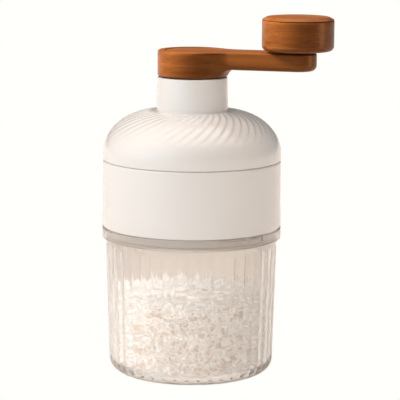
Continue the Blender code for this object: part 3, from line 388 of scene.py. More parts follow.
def lug_form(skirt_radius, skirt_bottom):
    """Raises the three lugs on the outside of a skirt."""
    bottom = skirt_bottom + LUG_RISE

    def form(radius, height, heading):
        on_side = np.abs(radius - skirt_radius) < 0.05 * MM
        across = 1 - ease(np.abs(lock_offset(heading)), LUG_HALF_ANGLE - 0.6, LUG_HALF_ANGLE)
        up = (height > bottom - 0.01 * MM) & (height < bottom + LUG_HEIGHT + 0.01 * MM)
        return radius + LUG_REACH * across * (on_side & up), height

    return form


def track_form(bore, skirt_bottom, mouth_top):
    """Sinks the three entries and tracks into a bore."""
    bottom = skirt_bottom + LUG_RISE - LUG_PLAY
    top = bottom + LUG_HEIGHT + 2 * LUG_PLAY
    margin = 0.01 * MM

    def form(radius, height, heading):
        offset = lock_offset(heading)
        on_bore = np.abs(radius - bore) < 0.6 * MM
        level = (height > bottom - margin) & (height < top + margin)
        above = (height > bottom - margin) & (height < mouth_top + margin)
        along = ease(offset, -ENTRY_HALF_ANGLE - LOCK_ANGLE - 2.0, -ENTRY_HALF_ANGLE - LOCK_ANGLE)
        track = along * (1 - ease(offset, 0.0, 2.0)) * level
        entry = (1 - ease(np.abs(offset), ENTRY_HALF_ANGLE, ENTRY_HALF_ANGLE + 2.0)) * above
        return radius + LUG_REACH * np.maximum(track, entry) * on_bore, height

    return form


def track_rows(radius, bottom_end, top_end, skirt_bottom):
    """The rows of a bore that a track's flanks need, from its foot up to its mouth."""
    bottom = skirt_bottom + LUG_RISE - LUG_PLAY
    top = bottom + LUG_HEIGHT + 2 * LUG_PLAY
    step = 0.12 * MM
    rows = (bottom - step, bottom, top, top + step)
    return [(radius, z) for z in rows if bottom_end < z < top_end]


def both(first, second):
    """Two forms of a lathe, one after the other."""

    def form(radius, height, heading):
        return second(*first(radius, height, heading), heading)

    return form


# ======== materials


def principled(name, colour, roughness, **values):
    """A new material, its tree and its Principled shader."""
    made = bpy.data.materials.new(f"{name}_finish")
    made.use_nodes = True
    tree = made.node_tree
    shader = tree.nodes["Principled BSDF"]
    shader.inputs["Base Color"].default_value = (*colour, 1.0)
    shader.inputs["Roughness"].default_value = roughness
    for key, value in values.items():
        shader.inputs[key.replace("_", " ")].default_value = value
    return made, tree, shader


def add(tree, kind, settings=None, **inputs):
    """A node with its settings and inputs, by name or as i0, i1 and so on.

    An input may be a value or another node's output.
    """
    made = tree.nodes.new(f"ShaderNode{kind}")
    for key, value in (settings or {}).items():
        setattr(made, key, value)
    for key, value in inputs.items():
        numbered = key[0] == "i" and key[1:].isdigit()
        socket = made.inputs[int(key[1:]) if numbered else key]
        if isinstance(value, bpy.types.NodeSocket):
            tree.links.new(value, socket)
        else:
            socket.default_value = value
    return made


def feed(tree, shader, name, value):
    """Links a value to a socket of the shader."""
    tree.links.new(value, shader.inputs[name])


def output(tree, kind, settings=None, **inputs):
    """The first output of a node that add makes."""
    return add(tree, kind, settings, **inputs).outputs[0]


def place(tree, scale):
    """Coordinates in the object's own frame, stretched by a scale along each axis."""
    where = add(tree, "TexCoord").outputs["Object"]
    return output(tree, "Mapping", Vector=where, Scale=scale)


def noise(tree, scale, detail=3.0, rough=0.5, distortion=0.0):
    """Noise from 0 to 1, with a scale along each axis."""
    return output(
        tree, "TexNoise", Vector=place(tree, scale), Scale=1.0, Detail=detail,
        Roughness=rough, Distortion=distortion,
    )


def spread(tree, value, low, high, start=0.35, end=0.65):
    """A value from start to end mapped on low to high."""
    made = add(tree, "MapRange", Value=value)
    for key, number in (("From Min", start), ("From Max", end), ("To Min", low), ("To Max", high)):
        made.inputs[key].default_value = number
    return made.outputs[0]


def ramp(tree, value, stops):
    """A colour ramp with stops of (position, colour)."""
    made = add(tree, "ValToRGB", Fac=value)
    elements = made.color_ramp.elements
    while len(elements) < len(stops):
        elements.new(0.5)
    for element, (position, colour) in zip(elements, stops, strict=True):
        element.position = position
        element.color = (*colour, 1.0)
    return made.outputs[0]


def bump(tree, shader, height, distance, strength):
    """Relief on the shader."""
    relief = output(tree, "Bump", Height=height, Distance=distance, Strength=strength)
    feed(tree, shader, "Normal", relief)


def seen_as(tree, end, ray, hidden, shown):
    """Shows one shader to some rays and another to the rest."""
    mixed = output(tree, "MixShader", i0=ray, i1=hidden.outputs[0], i2=shown.outputs[0])
    tree.links.new(mixed, tree.nodes[end].inputs["Surface"])


def clear_plastic():
    """Clear moulded plastic with a warm cast, faint flow marks and a little haze."""
    made, tree, shader = principled(
        "clear_plastic", (0.975, 0.90, 0.845), 0.06, Transmission_Weight=0.81, IOR=1.46
    )
    flow = noise(tree, (40, 40, 9), 2.0)
    haze = noise(tree, (300, 300, 300), 4.0)
    feed(tree, shader, "Roughness", spread(tree, haze, 0.03, 0.08))
    bump(tree, shader, flow, 0.0004, 0.25)
    return made


def white_plastic():
    """Glossy warm white plastic with faint clouds and a slightly uneven gloss."""
    made, tree, shader = principled(
        "white_plastic", (0.84, 0.825, 0.80), 0.25, Coat_Weight=0.55, Coat_Roughness=0.12, IOR=1.5
    )
    cloud = noise(tree, (14, 14, 14), 3.0)
    colour = ramp(tree, cloud, [(0.35, (0.83, 0.81, 0.78)), (0.65, (0.85, 0.84, 0.82))])
    feed(tree, shader, "Base Color", colour)
    feed(tree, shader, "Roughness", spread(tree, cloud, 0.20, 0.27, 0.2, 0.8))
    return made


def inner_plastic():
    """Satin off-white plastic of the parts that touch the food."""
    made, tree, shader = principled("inner_plastic", (0.84, 0.82, 0.78), 0.42)
    grain = noise(tree, (900, 900, 900), 5.0, 0.6)
    tone = noise(tree, (25, 25, 25), 2.0)
    colour = ramp(tree, tone, [(0.3, (0.80, 0.775, 0.735)), (0.7, (0.86, 0.845, 0.81))])
    feed(tree, shader, "Base Color", colour)
    feed(tree, shader, "Roughness", spread(tree, grain, 0.34, 0.50))
    bump(tree, shader, grain, 0.00005, 0.5)
    return made


def brown_handle():
    """Satin brown with wood-like streaks along the arm and a thin clear coat."""
    made, tree, shader = principled(
        "brown_handle", (0.155, 0.043, 0.007), 0.36, Coat_Weight=0.04, Coat_Roughness=0.2, IOR=1.45
    )
    shader.inputs["Specular IOR Level"].default_value = 0.4
    shader.inputs["Specular Tint"].default_value = (1.0, 0.55, 0.28, 1.0)
    fine = noise(tree, (16, 260, 900), 5.0, 0.62, 0.4)
    broad = noise(tree, (7, 55, 190), 3.0, 0.5, 0.8)
    grain = output(tree, "Mix", {"data_type": "FLOAT"}, Factor=0.5, A=fine, B=broad)
    stops = [
        (0.34, (0.080, 0.021, 0.003)),
        (0.50, (0.130, 0.037, 0.006)),
        (0.66, (0.185, 0.058, 0.011)),
    ]
    feed(tree, shader, "Base Color", ramp(tree, grain, stops))
    feed(tree, shader, "Roughness", spread(tree, fine, 0.30, 0.45))
    bump(tree, shader, grain, 0.00012, 0.35)
    return made


def textured(name, colour, roughness, texture, tones, gloss, relief, **values):
    """A material whose colour, roughness and relief follow one fine pattern."""
    made, tree, shader = principled(name, colour, roughness, **values)
    scale, *character = texture
    pattern = noise(tree, scale, *character)
    stops = [(0.3, tones[0]), (0.7, tones[1])]
    feed(tree, shader, "Base Color", ramp(tree, pattern, stops))
    feed(tree, shader, "Roughness", spread(tree, pattern, *gloss))
    bump(tree, shader, pattern, *relief)
    return made


def stainless():
    """Fine brushed stainless steel."""
    return textured(
        "stainless", (0.60, 0.60, 0.595), 0.28, ((60, 1800, 1800), 4.0, 0.6),
        ((0.50, 0.50, 0.50), (0.66, 0.66, 0.655)), (0.20, 0.38), (0.00001, 0.5), Metallic=1.0,
    )


def silicone():
    """Soft translucent grey-white silicone with a dull skin."""
    return textured(
        "silicone", (0.74, 0.73, 0.71), 0.55, ((600, 600, 600), 4.0),
        ((0.70, 0.69, 0.67), (0.77, 0.76, 0.745)), (0.48, 0.64), (0.00003, 0.4),
        Subsurface_Weight=0.2, Subsurface_Scale=0.002,
    )


def nylon():
    """Natural machined nylon, with turning marks up its axis."""
    return textured(
        "nylon", (0.72, 0.70, 0.65), 0.45, ((80, 80, 2600), 2.0),
        ((0.67, 0.65, 0.60), (0.75, 0.735, 0.69)), (0.38, 0.52), (0.00002, 0.5),
    )


def flake_material(name, light, dark, painted_glows):
    """Dry, creamy shreds with a painted glow, which fades from the lit side to the dark one."""
    made, tree, shader = principled(name, light, 0.75)
    shader.inputs["Emission Color"].default_value = PAINTED_GLOW_TINT
    along = add(tree, "SeparateXYZ", Vector=place(tree, (1, 1, 1))).outputs[0]
    # painted light: the glow is strongest at -X, the lit side, and weakest at +X, the dark side
    glow = spread(tree, along, *painted_glows, -BASE_RADIUS, BASE_RADIUS)
    feed(tree, shader, "Emission Strength", glow)
    crumbs = noise(tree, (350, 350, 350), 4.0)
    colour = ramp(tree, crumbs, [(0.3, dark), (0.6, light)])
    feed(tree, shader, "Base Color", colour)
    bump(tree, shader, crumbs, 0.0002, 0.5)
    return made


FINISH = {
    "clear_plastic": clear_plastic(),
    "white_plastic": white_plastic(),
    "inner_plastic": inner_plastic(),
    "brown_handle": brown_handle(),
    "stainless": stainless(),
    "silicone": silicone(),
    "nylon": nylon(),
}


# ======== jar


def wall_radius(height):
    slope = JAR_TAPER / (COLLAR_BOTTOM - FOOT_RADIUS)
    return BASE_RADIUS + slope * (height - FOOT_RADIUS)


def reed_form(radius, height, heading):
    """Presses the grooves between the convex reeds into the jar's outside."""
    reed = (heading * REED_COUNT / 360.0) % 1.0
    across = np.abs(np.abs(reed - 0.5) - 0.5) * 2  # 0 on a crest and 1 in a groove
    groove = across**2.4
    outside = radius > wall_radius(np.maximum(height, FOOT_RADIUS)) - FOOT_RADIUS
    outside &= (radius > wall_radius(height) - JAR_WALL / 2) | (height < JAR_FLOOR * 0.9)
    # a groove ends in a round top, and fades into the flat of the base
    rise = np.clip((REED_TOP - height) / REED_RUN_OUT, 0.0, 1.0)
    run_out = np.sqrt(1 - (1 - rise) ** 2)
    foot = ease(radius, BASE_RADIUS - FOOT_RADIUS * 0.75, BASE_RADIUS - FOOT_RADIUS * 0.1)
    low = np.where(height < FOOT_RADIUS, foot, 1.0)
    return radius - REED_DEPTH * groove * run_out * low * outside, height


def make_jar():
    inner_foot = FOOT_RADIUS - JAR_WALL / 2
    inner_corner = JAR_FLOOR + inner_foot
    inner_base = wall_radius(inner_corner) - JAR_WALL - inner_foot
    run_out = np.linspace(REED_TOP + 0.1 * MM, REED_TOP - REED_RUN_OUT, 9).tolist()
    wall = np.linspace(REED_TOP - REED_RUN_OUT - 4 * MM, FOOT_RADIUS + 2 * MM, 12).tolist()
    inside = open_line(
        [
            (wall_radius(inner_corner) - JAR_WALL, inner_corner),
            (wall_radius(MOUTH_LEDGE) - JAR_WALL, MOUTH_LEDGE, 0.4), (MOUTH_RADIUS, MOUTH_LEDGE),
        ]
    )[1:]
    collar = open_line(
        [
            (MOUTH_RADIUS, MOUTH_LEDGE), (MOUTH_RADIUS, JAR_TOP, 0.4),
            (COLLAR_RADIUS, JAR_TOP, 1.0), (COLLAR_RADIUS, COLLAR_BOTTOM, 1.1),
            (wall_radius(COLLAR_BOTTOM), COLLAR_BOTTOM, 0.5), (wall_radius(REED_TOP), REED_TOP),
        ]
    )[1:-1]
    profile = [
        (0.0, JAR_FLOOR),
        *arc((inner_base, inner_corner), (inner_foot,) * 2, -90, 0, 10),
        *inside,
        *track_rows(MOUTH_RADIUS, MOUTH_LEDGE, JAR_TOP, SKIRT_BOTTOM),
        *collar,
        *[(wall_radius(z), z) for z in run_out + wall],
        *arc((BASE_RADIUS - FOOT_RADIUS, FOOT_RADIUS), (FOOT_RADIUS,) * 2, 0, -90, 16),
        (BASE_RADIUS * 0.72, 0.0), (BASE_RADIUS * 0.70, 0.7 * MM), (0.0, 0.9 * MM),
    ]
    form = both(track_form(MOUTH_RADIUS, SKIRT_BOTTOM, JAR_TOP), reed_form)
    settle(lathe("jar", profile, REED_COUNT * REED_COLUMNS, form), "jar", sharp=35)


def make_ring(node, rounding, bore, steps):
    """A plain ring with rounded edges, in its node's box."""
    outer, bottom, top = HIGH[node].x, LOW[node].z, HIGH[node].z
    corners = [(outer, top), (outer, bottom), (bore, bottom), (bore, top)]
    profile = rounded([(*corner, rounding) for corner in corners], steps=3)
    settle(lathe(node, profile, steps), node)


def make_seals():
    for node, bore in (("jar_seal", SKIRT_BORE), ("lid_seal", SPIGOT_BORE)):
        make_ring(node, 0.3, bore + FIT_GAP, 160)


# ======== body, disc and blades


def flare():
    """The band's side, which widens towards its foot."""
    side = []
    for z in np.linspace(FLARE_START, FLARE_END, 7).tolist()[::-1]:
        wider = (FLARE_RADIUS - BODY_RADIUS) * (1 - float(ease(z, FLARE_START, FLARE_END)))
        side.append((BODY_RADIUS + wider, BODY_FOOT + z))
    return side


def make_body():
    side = flare()
    top = open_line(
        [
            (BODY_MOUTH_RADIUS, BODY_MOUTH_LEDGE), (BODY_MOUTH_RADIUS, BODY_TOP, 0.5),
            (BODY_RADIUS, BODY_TOP, 1.3), side[0],
        ],
        steps=6,
    )[1:-1]
    foot = open_line(
        [
            side[-1], (FLARE_RADIUS, BODY_FOOT, 1.0),
            (SKIRT_RADIUS, BODY_FOOT, 0.3), (SKIRT_RADIUS, SKIRT_BOTTOM),
        ]
    )[1:-1]
    inside = open_line(
        [
            (SKIRT_RADIUS, BODY_FOOT), (SKIRT_RADIUS, SKIRT_BOTTOM, 0.5),
            (SKIRT_BORE, SKIRT_BOTTOM, 0.5), (SKIRT_BORE, LEDGE_BOTTOM, 0.5),
            (LEDGE_BORE, LEDGE_BOTTOM, 0.4), (LEDGE_BORE, LEDGE_TOP, 0.4),
            (SKIRT_BORE, LEDGE_TOP, 0.2), (SKIRT_BORE, SEAT_TOP, 0.2),
            (BODY_BORE, SEAT_TOP + BODY_BORE - SKIRT_BORE, 1.0),
            (BODY_BORE, BODY_MOUTH_LEDGE, 0.3), (BODY_MOUTH_RADIUS, BODY_MOUTH_LEDGE),
        ],
        steps=3,
    )[1:]
    skirt = lug_side(
        SKIRT_RADIUS, BODY_FOOT - 0.4 * MM, SKIRT_BOTTOM + 0.55 * MM, SKIRT_BOTTOM + LUG_RISE
    )
    tracks = track_rows(BODY_MOUTH_RADIUS, BODY_MOUTH_LEDGE, BODY_TOP, SPIGOT_BOTTOM)
    form = both(
        lug_form(SKIRT_RADIUS, SKIRT_BOTTOM),
        track_form(BODY_MOUTH_RADIUS, SPIGOT_BOTTOM, BODY_TOP),
    )
    body = lathe("grater_body", [*top, *side, *foot, *skirt, *inside, *tracks], 360, form)
    screws = [middle(f"disc_screw_{n}") for n in (1, 2, 3)]
    carve(body, joined("holes", [hole(LEDGE_TOP, LEDGE_BOTTOM, centre) for centre in screws]))
    settle(body, "grater_body")


def hole(top, bottom, centre):
    """A cutter for a small screw's shank, which runs past both faces."""
    radius = 1.6 * MM
    profile = [(0.0, top + MM), (radius, top + MM), (radius, bottom - MM), (0.0, bottom - MM)]
    return lathe("hole", profile, 24, centre=centre)


def middle(node):
    """The upright axis through a node's box."""
    centre = (LOW[node] + HIGH[node]) / 2
    return centre.x, centre.y


def countersunk(node, grow=0.0, over=0.0):
    """A countersunk screw's profile in its node's box, or that of a longer hole for it."""
    head, bottom, top = extent(node)
    head += grow
    shank = head / 2 + grow / 2
    waist = (shank, top - (head - shank), 0.2)
    if over:
        mouth = [(0.0, top + over), (head, top + over), (head, top)]
        corners = [*mouth, waist, (shank, bottom - over), (0.0, bottom - over)]
    else:
        corners = [(0.0, top), (head, top, 0.15), waist, (shank, bottom, 0.3), (0.0, bottom)]
    return rounded(corners, closed=False, steps=2)


def make_screws(stem, count):
    """Countersunk screws with hexagon sockets."""
    for n in range(1, count + 1):
        node = f"{stem}_{n}"
        centre = middle(node)
        screw = lathe(node, countersunk(node), 32, centre=centre)
        cut_socket(screw, centre, HIGH[node].z, 1.3 * MM)
        settle(screw, node)


def cut_socket(screw, centre, top, hex_radius):
    """Cuts a hexagon socket, chamfered at its mouth."""
    depth = 1.3 * MM
    profile = [
        (0.0, top + MM),
        (hex_radius + 1.25 * MM, top + MM),
        (hex_radius, top - 0.25 * MM),
        (hex_radius, top - depth),
        (0.0, top - depth - 0.4 * MM),
    ]
    carve(screw, lathe("socket", profile, 6, centre=centre))


def seat(screw):
    """A cutter for a countersunk screw."""
    return lathe("seat", countersunk(screw, FIT_GAP, MM), 32, centre=middle(screw))


def make_disc():
    node, bore = "blade_disc", 2.8 * MM
    outer, top, bottom = HIGH[node].x, HIGH[node].z, LOW[node].z
    profile = [(outer, top, 0.4), (outer, bottom, 0.4), (bore, bottom, 0.3), (bore, top, 0.3)]
    disc = lathe(node, rounded(profile, steps=3), 180)
    cutters = []
    for blade in ("blade_1", "blade_2"):
        length = HIGH[blade].x - LOW[blade].x - 4 * MM
        where = (middle(blade)[0], 0.0, (top + bottom) / 2)
        cutters.append(box("slot", (length, 8 * MM, 8 * MM), where))
    cutters += [hole(top, bottom, middle(f"blade_screw_{n}")) for n in (1, 2, 3, 4)]
    cutters += [seat(f"disc_screw_{n}") for n in (1, 2, 3)]
    carve(disc, joined("disc_cuts", cutters))
    settle(disc, node)


def make_blade(node, screws):
    """A blade with ground teeth. The right one's teeth point to +Y and the left one's to -Y."""
    low, high = LOW[node], HIGH[node]
    length = high.x - low.x
    side = 1 if low.x > 0 else -1
    tip, back = (high.y, low.y) if side > 0 else (low.y, high.y)
    teeth, depth, grind = 20, 1.2 * MM, 3.2 * MM
    edge, chamfer = 0.18 * MM, 0.12 * MM
    outline = [(low.x, 0.0)]
    for i in range(teeth):
        start = low.x + length * i / teeth
        for share, reach in ((0.35, 0.72), (0.5, 1.0), (0.65, 0.72), (1.0, 0.0)):
            outline.append((start + length / teeth * share, reach))
    vertices = []
    for x, reach in outline:
        y = tip - side * depth * (1 - reach)
        vertices += [
            (x, back, low.z + chamfer), (x, back, high.z - chamfer),
            (x, back + side * chamfer, high.z), (x, tip - side * grind, high.z),
            (x, y, low.z + edge), (x, y, low.z), (x, back + side * chamfer, low.z),
        ]
    ring = 7
    last = (len(outline) - 1) * ring
    faces = []
    for i in range(0, last, ring):
        for j in range(ring):
            k = (j + 1) % ring
            faces.append((i + j, i + k, i + ring + k, i + ring + j))
    faces += [list(range(ring)), list(range(last, last + ring))]
    blade = new_mesh(node, vertices, faces)
    carve(blade, joined("seats", [seat(screw) for screw in screws]))
    settle(blade, node)


# ======== lid and bearing


def dome_form(radius, height, heading):
    """Swirling flutes on the outside of the dome, fading towards the shoulder."""
    across, up = BODY_RADIUS - NECK_FOOT_RADIUS, NECK_BOTTOM - DOME_BOTTOM
    u = (radius - NECK_FOOT_RADIUS) / across
    v = (height - DOME_BOTTOM) / up
    on_dome = (np.abs(u * u + v * v - 1) < 0.02) & (v > 0) & (u > 0)
    down = np.degrees(np.arctan2(u, v))
    phase = ((heading + FLUTE_SWIRL * down) * FLUTE_COUNT / 360.0) % 1.0
    rise = ease(phase, 0.0, 0.84) * (1 - ease(phase, 0.84, 1.0))
    amount = ease(down, 3.0, 12.0) * (1 - ease(down, 46.0, 72.0))
    push = FLUTE_DEPTH * (1 - rise) * amount * on_dome
    slope_r, slope_z = u / across, v / up
    length = np.hypot(slope_r, slope_z) + 1e-9
    return radius - push * slope_r / length, height - push * slope_z / length


def make_lid():
    across, up = BODY_RADIUS - NECK_FOOT_RADIUS, NECK_BOTTOM - DOME_BOTTOM
    roof = RECESS_FLOOR - 3.0 * MM
    neck = open_line(
        [
            (RECESS_RADIUS, RECESS_FLOOR), (RECESS_RADIUS, NECK_TOP, 0.4),
            (NECK_TOP_RADIUS, NECK_TOP, 0.9), (NECK_FOOT_RADIUS, NECK_BOTTOM),
        ],
        steps=6,
    )[1:-1]
    rim = open_line(
        [
            (BODY_RADIUS, DOME_BOTTOM), (BODY_RADIUS, LID_BOTTOM, 0.7),
            (SPIGOT_RADIUS, LID_BOTTOM, 0.3), (SPIGOT_RADIUS, SPIGOT_BOTTOM),
        ]
    )[1:-1]
    rows = lug_side(
        SPIGOT_RADIUS, LID_BOTTOM - 0.4 * MM, SPIGOT_BOTTOM + 0.45 * MM, SPIGOT_BOTTOM + LUG_RISE
    )
    spigot = open_line(
        [
            (SPIGOT_RADIUS, LID_BOTTOM), (SPIGOT_RADIUS, SPIGOT_BOTTOM, 0.4),
            (SPIGOT_BORE, SPIGOT_BOTTOM, 0.4), (SPIGOT_BORE, DOME_BOTTOM),
        ],
        steps=3,
    )[1:-1]
    boss = open_line(
        [
            (NECK_BORE, NECK_BOTTOM - LID_WALL), (NECK_BORE, roof, 1.0),
            (BOSS_RADIUS, roof, 1.0), (BOSS_RADIUS, BOSS_BOTTOM, 0.4),
            (BOSS_BORE, BOSS_BOTTOM, 0.3), (BOSS_BORE, RECESS_FLOOR, 0.2),
            (RECESS_RADIUS, RECESS_FLOOR),
        ],
        steps=3,
    )[1:]
    outside = arc((NECK_FOOT_RADIUS, DOME_BOTTOM), (across, up), 90, 0, 60)
    inside = arc(
        (NECK_BORE, DOME_BOTTOM), (SPIGOT_BORE - NECK_BORE, up - LID_WALL), 0, 90, 20
    )
    profile = [*neck, *outside, *rim, *rows, *spigot, *inside, *boss]
    form = both(lug_form(SPIGOT_RADIUS, SPIGOT_BOTTOM), dome_form)
    lid = lathe("dome_lid", profile, FLUTE_COUNT * FLUTE_COLUMNS, form)
    settle(lid, "dome_lid", sharp=40)


def make_bearing():
    node, bore = "neck_bush", 5.3 * MM
    outer, top, bottom = HIGH[node].x, HIGH[node].z, LOW[node].z
    flange, sleeve = top - 1.2 * MM, bore + 1.8 * MM
    corners = [
        (outer, top, 0.2), (outer, flange, 0.2), (sleeve, flange, 0.2),
        (sleeve, bottom, 0.4), (bore, bottom, 0.3), (bore, top, 0.3),
    ]
    settle(lathe(node, rounded(corners, steps=3), 64), node)
    make_ring("thrust_washer", 0.2, bore, 64)


# ======== shaft, clip, pusher and spring


def make_shaft():
    """Pilot, square, collar and journal in one, with its drive square on top."""
    node = "drive_shaft"
    top, bottom = HIGH[node].z, LOW[node].z
    pilot, journal, collar = 2.5 * MM, 5.0 * MM, HIGH[node].x
    collar_top = LOW["neck_bush"].z - 0.4 * MM
    collar_bottom = collar_top - 3.0 * MM
    profile = [
        (0.0, NECK_TOP), (journal, NECK_TOP, 0.5), (journal, collar_top, 0.3),
        (collar, collar_top, 0.4), (collar, collar_bottom, 0.4),
        (pilot, collar_bottom, 0.3), (pilot, bottom, 0.4), (0.0, bottom),
    ]
    shaft = lathe(node, open_line(profile, steps=3), 64)
    square_bottom = HIGH["blade_disc"].z + 0.7 * MM
    add_square(shaft, 8.0 * MM, square_bottom, collar_bottom + MM)
    add_square(shaft, 6.8 * MM, NECK_TOP - MM, top)
    low, high = LOW["shaft_clip"].z - FIT_GAP, HIGH["shaft_clip"].z + FIT_GAP
    core, clear = 4.2 * MM, 8 * MM
    groove = [(core, low), (clear, low), (clear, high), (core, high)]
    carve(shaft, lathe("groove", groove, 48))
    radius, end = 2.3 * MM, LOW["crank_screw"].z - MM
    thread = [(0.0, top + MM), (radius, top + MM), (radius, end), (0.0, end - MM)]
    carve(shaft, lathe("thread", thread, 32))
    settle(shaft, node)


def add_square(shaft, side, low, high):
    """Joins a square length with bevelled edges onto the shaft."""
    bar = box("square", (side, side, high - low), (0.0, 0.0, (high + low) / 2))
    bpy.context.view_layer.update()
    bar.data.transform(Matrix.Diagonal((*bar.scale, 1.0)))
    bar.scale = (1, 1, 1)
    edge = bar.modifiers.new("edge", "BEVEL")
    edge.width = 0.5 * MM
    edge.segments = 2
    carve(shaft, baked(bar), "UNION")


def make_clip():
    """A retaining ring with a gap at its back."""
    node, bore, edge = "shaft_clip", 4.5 * MM, 0.15
    outer, bottom, top = HIGH[node].x, LOW[node].z, HIGH[node].z
    corners = [(outer, top, edge), (outer, bottom, edge), (bore, bottom, edge), (bore, top, edge)]
    settle(lathe(node, rounded(corners, steps=2), 48, sweep=(-130.0, 130.0)), node)


def make_pusher():
    """A ribbed and spiked plate on a hub with a square bore."""
    node = "pusher"
    tip, top, rim = LOW[node].z, HIGH[node].z, HIGH[node].x
    plate_bottom, plate_top, hub_bottom = 107.0 * MM, 110.0 * MM, 104.9 * MM
    hub, bore = 10.56 * MM, 8.6 * MM
    sunk = plate_top - 0.9 * MM
    corners = [
        (0.0, top), (hub, top, 0.8), (hub, plate_top, 1.6),
        (rim * 0.45, plate_top, 0.4), (rim * 0.47, sunk, 0.4),
        (rim * 0.90, sunk, 0.4), (rim * 0.92, plate_top, 0.4),
        (rim, plate_top, 0.9), (rim, plate_bottom, 0.9),
        (hub, plate_bottom, 0.8), (hub, hub_bottom, 0.5), (0.0, hub_bottom),
    ]
    pusher = lathe(node, open_line(corners, steps=4), 144)
    carve(pusher, box("bore", (bore, bore, 40 * MM), (0.0, 0.0, 112 * MM)))
    root = plate_bottom + 1.5 * MM
    corners = [
        (0.0, root), (2.4 * MM, root), (2.3 * MM, plate_bottom, 0.2),
        (0.45 * MM, tip, 0.25), (0.0, tip),
    ]
    spikes = []
    for inset, count in ((9.5 * MM, 10), (25.5 * MM, 6)):
        for i in range(count):
            turn = 2 * math.pi * i / count
            centre = ((rim - inset) * math.cos(turn), (rim - inset) * math.sin(turn))
            spikes.append(lathe("spike", open_line(corners, steps=3), 20, centre=centre))
    carve(pusher, joined("spikes", spikes), "UNION")
    settle(pusher, node)


def make_spring():
    """An even compression spring, which shortens as the pusher rises."""
    wire, turns, steps = 0.7 * MM, 7, 28
    radius = (HIGH["spring"].x - LOW["spring"].x) / 2 - wire
    bottom, top = LOW["spring"].z + wire, HIGH["spring"].z - wire
    curve = bpy.data.curves.new("spring", "CURVE")
    curve.dimensions = "3D"
    curve.bevel_depth = wire
    curve.bevel_resolution = 4
    curve.use_fill_caps = True
    spline = curve.splines.new("POLY")
    spline.points.add(turns * steps)
    for i, point in enumerate(spline.points):
        turn = 2 * math.pi * i / steps
        height = bottom + (top - bottom) * i / (turns * steps)
        point.co = (radius * math.cos(turn), radius * math.sin(turn), height, 1.0)
    source = linked("spring_path", curve)
    mesh = evaluated(source)
    bpy.data.objects.remove(source)
    spring = linked("spring", mesh)
    settle(spring, "spring")
    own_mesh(spring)


# ======== crank and knob


def round_cut(a, b, radius):
    """Distance to what is inside both a and b, with a rounded edge where they meet."""
    outside = np.hypot(np.maximum(radius + a, 0), np.maximum(radius + b, 0))
    return np.minimum(-radius, np.maximum(a, b)) + outside


def round_join(a, b, radius):
    """Distance to what is inside a or b, with a fillet where they meet."""
    inside = np.hypot(np.maximum(radius - a, 0), np.maximum(radius - b, 0))
    return np.maximum(radius, np.minimum(a, b)) - inside


def arm_distance(points):
    """Distance from the surface of the hub and arm, without their bores."""
    x, y, z = points.T
    hub = round_cut(np.hypot(x, y) - HUB_RADIUS, HUB_BOTTOM - z, CRANK_EDGE)
    plan = np.hypot(x - np.clip(x, 0, CRANK_REACH), y) - ARM_HALF
    arm = round_cut(plan, ARM_BOTTOM - z, ARM_FOOT_ROUNDING)
    return round_cut(round_join(hub, arm, ARM_BLEND), z - CRANK_TOP, CRANK_EDGE)


def onto_surface(points, distance):
    """Moves points along the slope of a distance onto its surface."""
    step = 0.02 * MM
    for _ in range(5):
        slope = np.stack(
            [
                distance(points + step * axis) - distance(points - step * axis)
                for axis in np.eye(3)
            ],
            axis=-1,
        ) / (2 * step)
        size = np.maximum((slope**2).sum(1), 0.05)
        points = points - slope * (distance(points) / size)[:, None]
    return points


def rough_arm():
    """Blocks of the hub, the arm and the arm's root, as one rough shape."""
    half = HUB_RADIUS / 2
    reach = CRANK_REACH + ARM_HALF - half
    height = CRANK_TOP - ARM_BOTTOM
    level = ARM_BOTTOM + height / 2
    radius, top, bottom = HUB_RADIUS, CRANK_TOP, HUB_BOTTOM
    hub = lathe("hub", [(0.0, top), (radius, top), (radius, bottom), (0.0, bottom)], 64)
    arm = box("arm", (reach, 2 * ARM_HALF, height), (half + reach / 2, 0.0, level))
    width = 2 * (ARM_HALF + ARM_BLEND / 3)
    root = box("root", (half, width, height), (HUB_RADIUS * 0.8, 0.0, level))
    return joined("arm", [hub, arm, root])


def smooth_arm():
    """The rough shape remeshed, with its points evened out and moved onto the rounded form."""
    arm = rough_arm()
    remesh = arm.modifiers.new("remesh", "REMESH")
    remesh.mode = "VOXEL"
    remesh.voxel_size = ARM_VOXEL
    for _ in range(3):
        even = arm.modifiers.new("even", "SMOOTH")
        even.factor = 0.5
        even.iterations = 6
        mesh = baked(arm).data
        points = np.zeros(len(mesh.vertices) * 3)
        mesh.vertices.foreach_get("co", points)
        points = onto_surface(points.reshape(-1, 3), arm_distance)
        mesh.vertices.foreach_set("co", points.ravel())
        mesh.update()
    return arm


def arm_well():
    """A cutter for the cap's well, the washer's seat and the screw's hole."""
    cap, washer, screw = CAP_RADIUS + FIT_GAP, HIGH["crank_washer"].x + FIT_GAP, 2.3 * MM
    seat_level, end = LOW["crank_washer"].z - FIT_GAP, HIGH["drive_shaft"].z - MM
    corners = [
        (0.0, CRANK_TOP + MM), (CAP_RADIUS + 1.9 * MM, CRANK_TOP + MM),
        (cap, CRANK_TOP - 0.6 * MM), (cap, CAP_FLOOR, 0.3), (washer, CAP_FLOOR),
        (washer, seat_level), (screw, seat_level), (screw, end), (0.0, end),
    ]
    return lathe("well", open_line(corners, steps=3), 128)


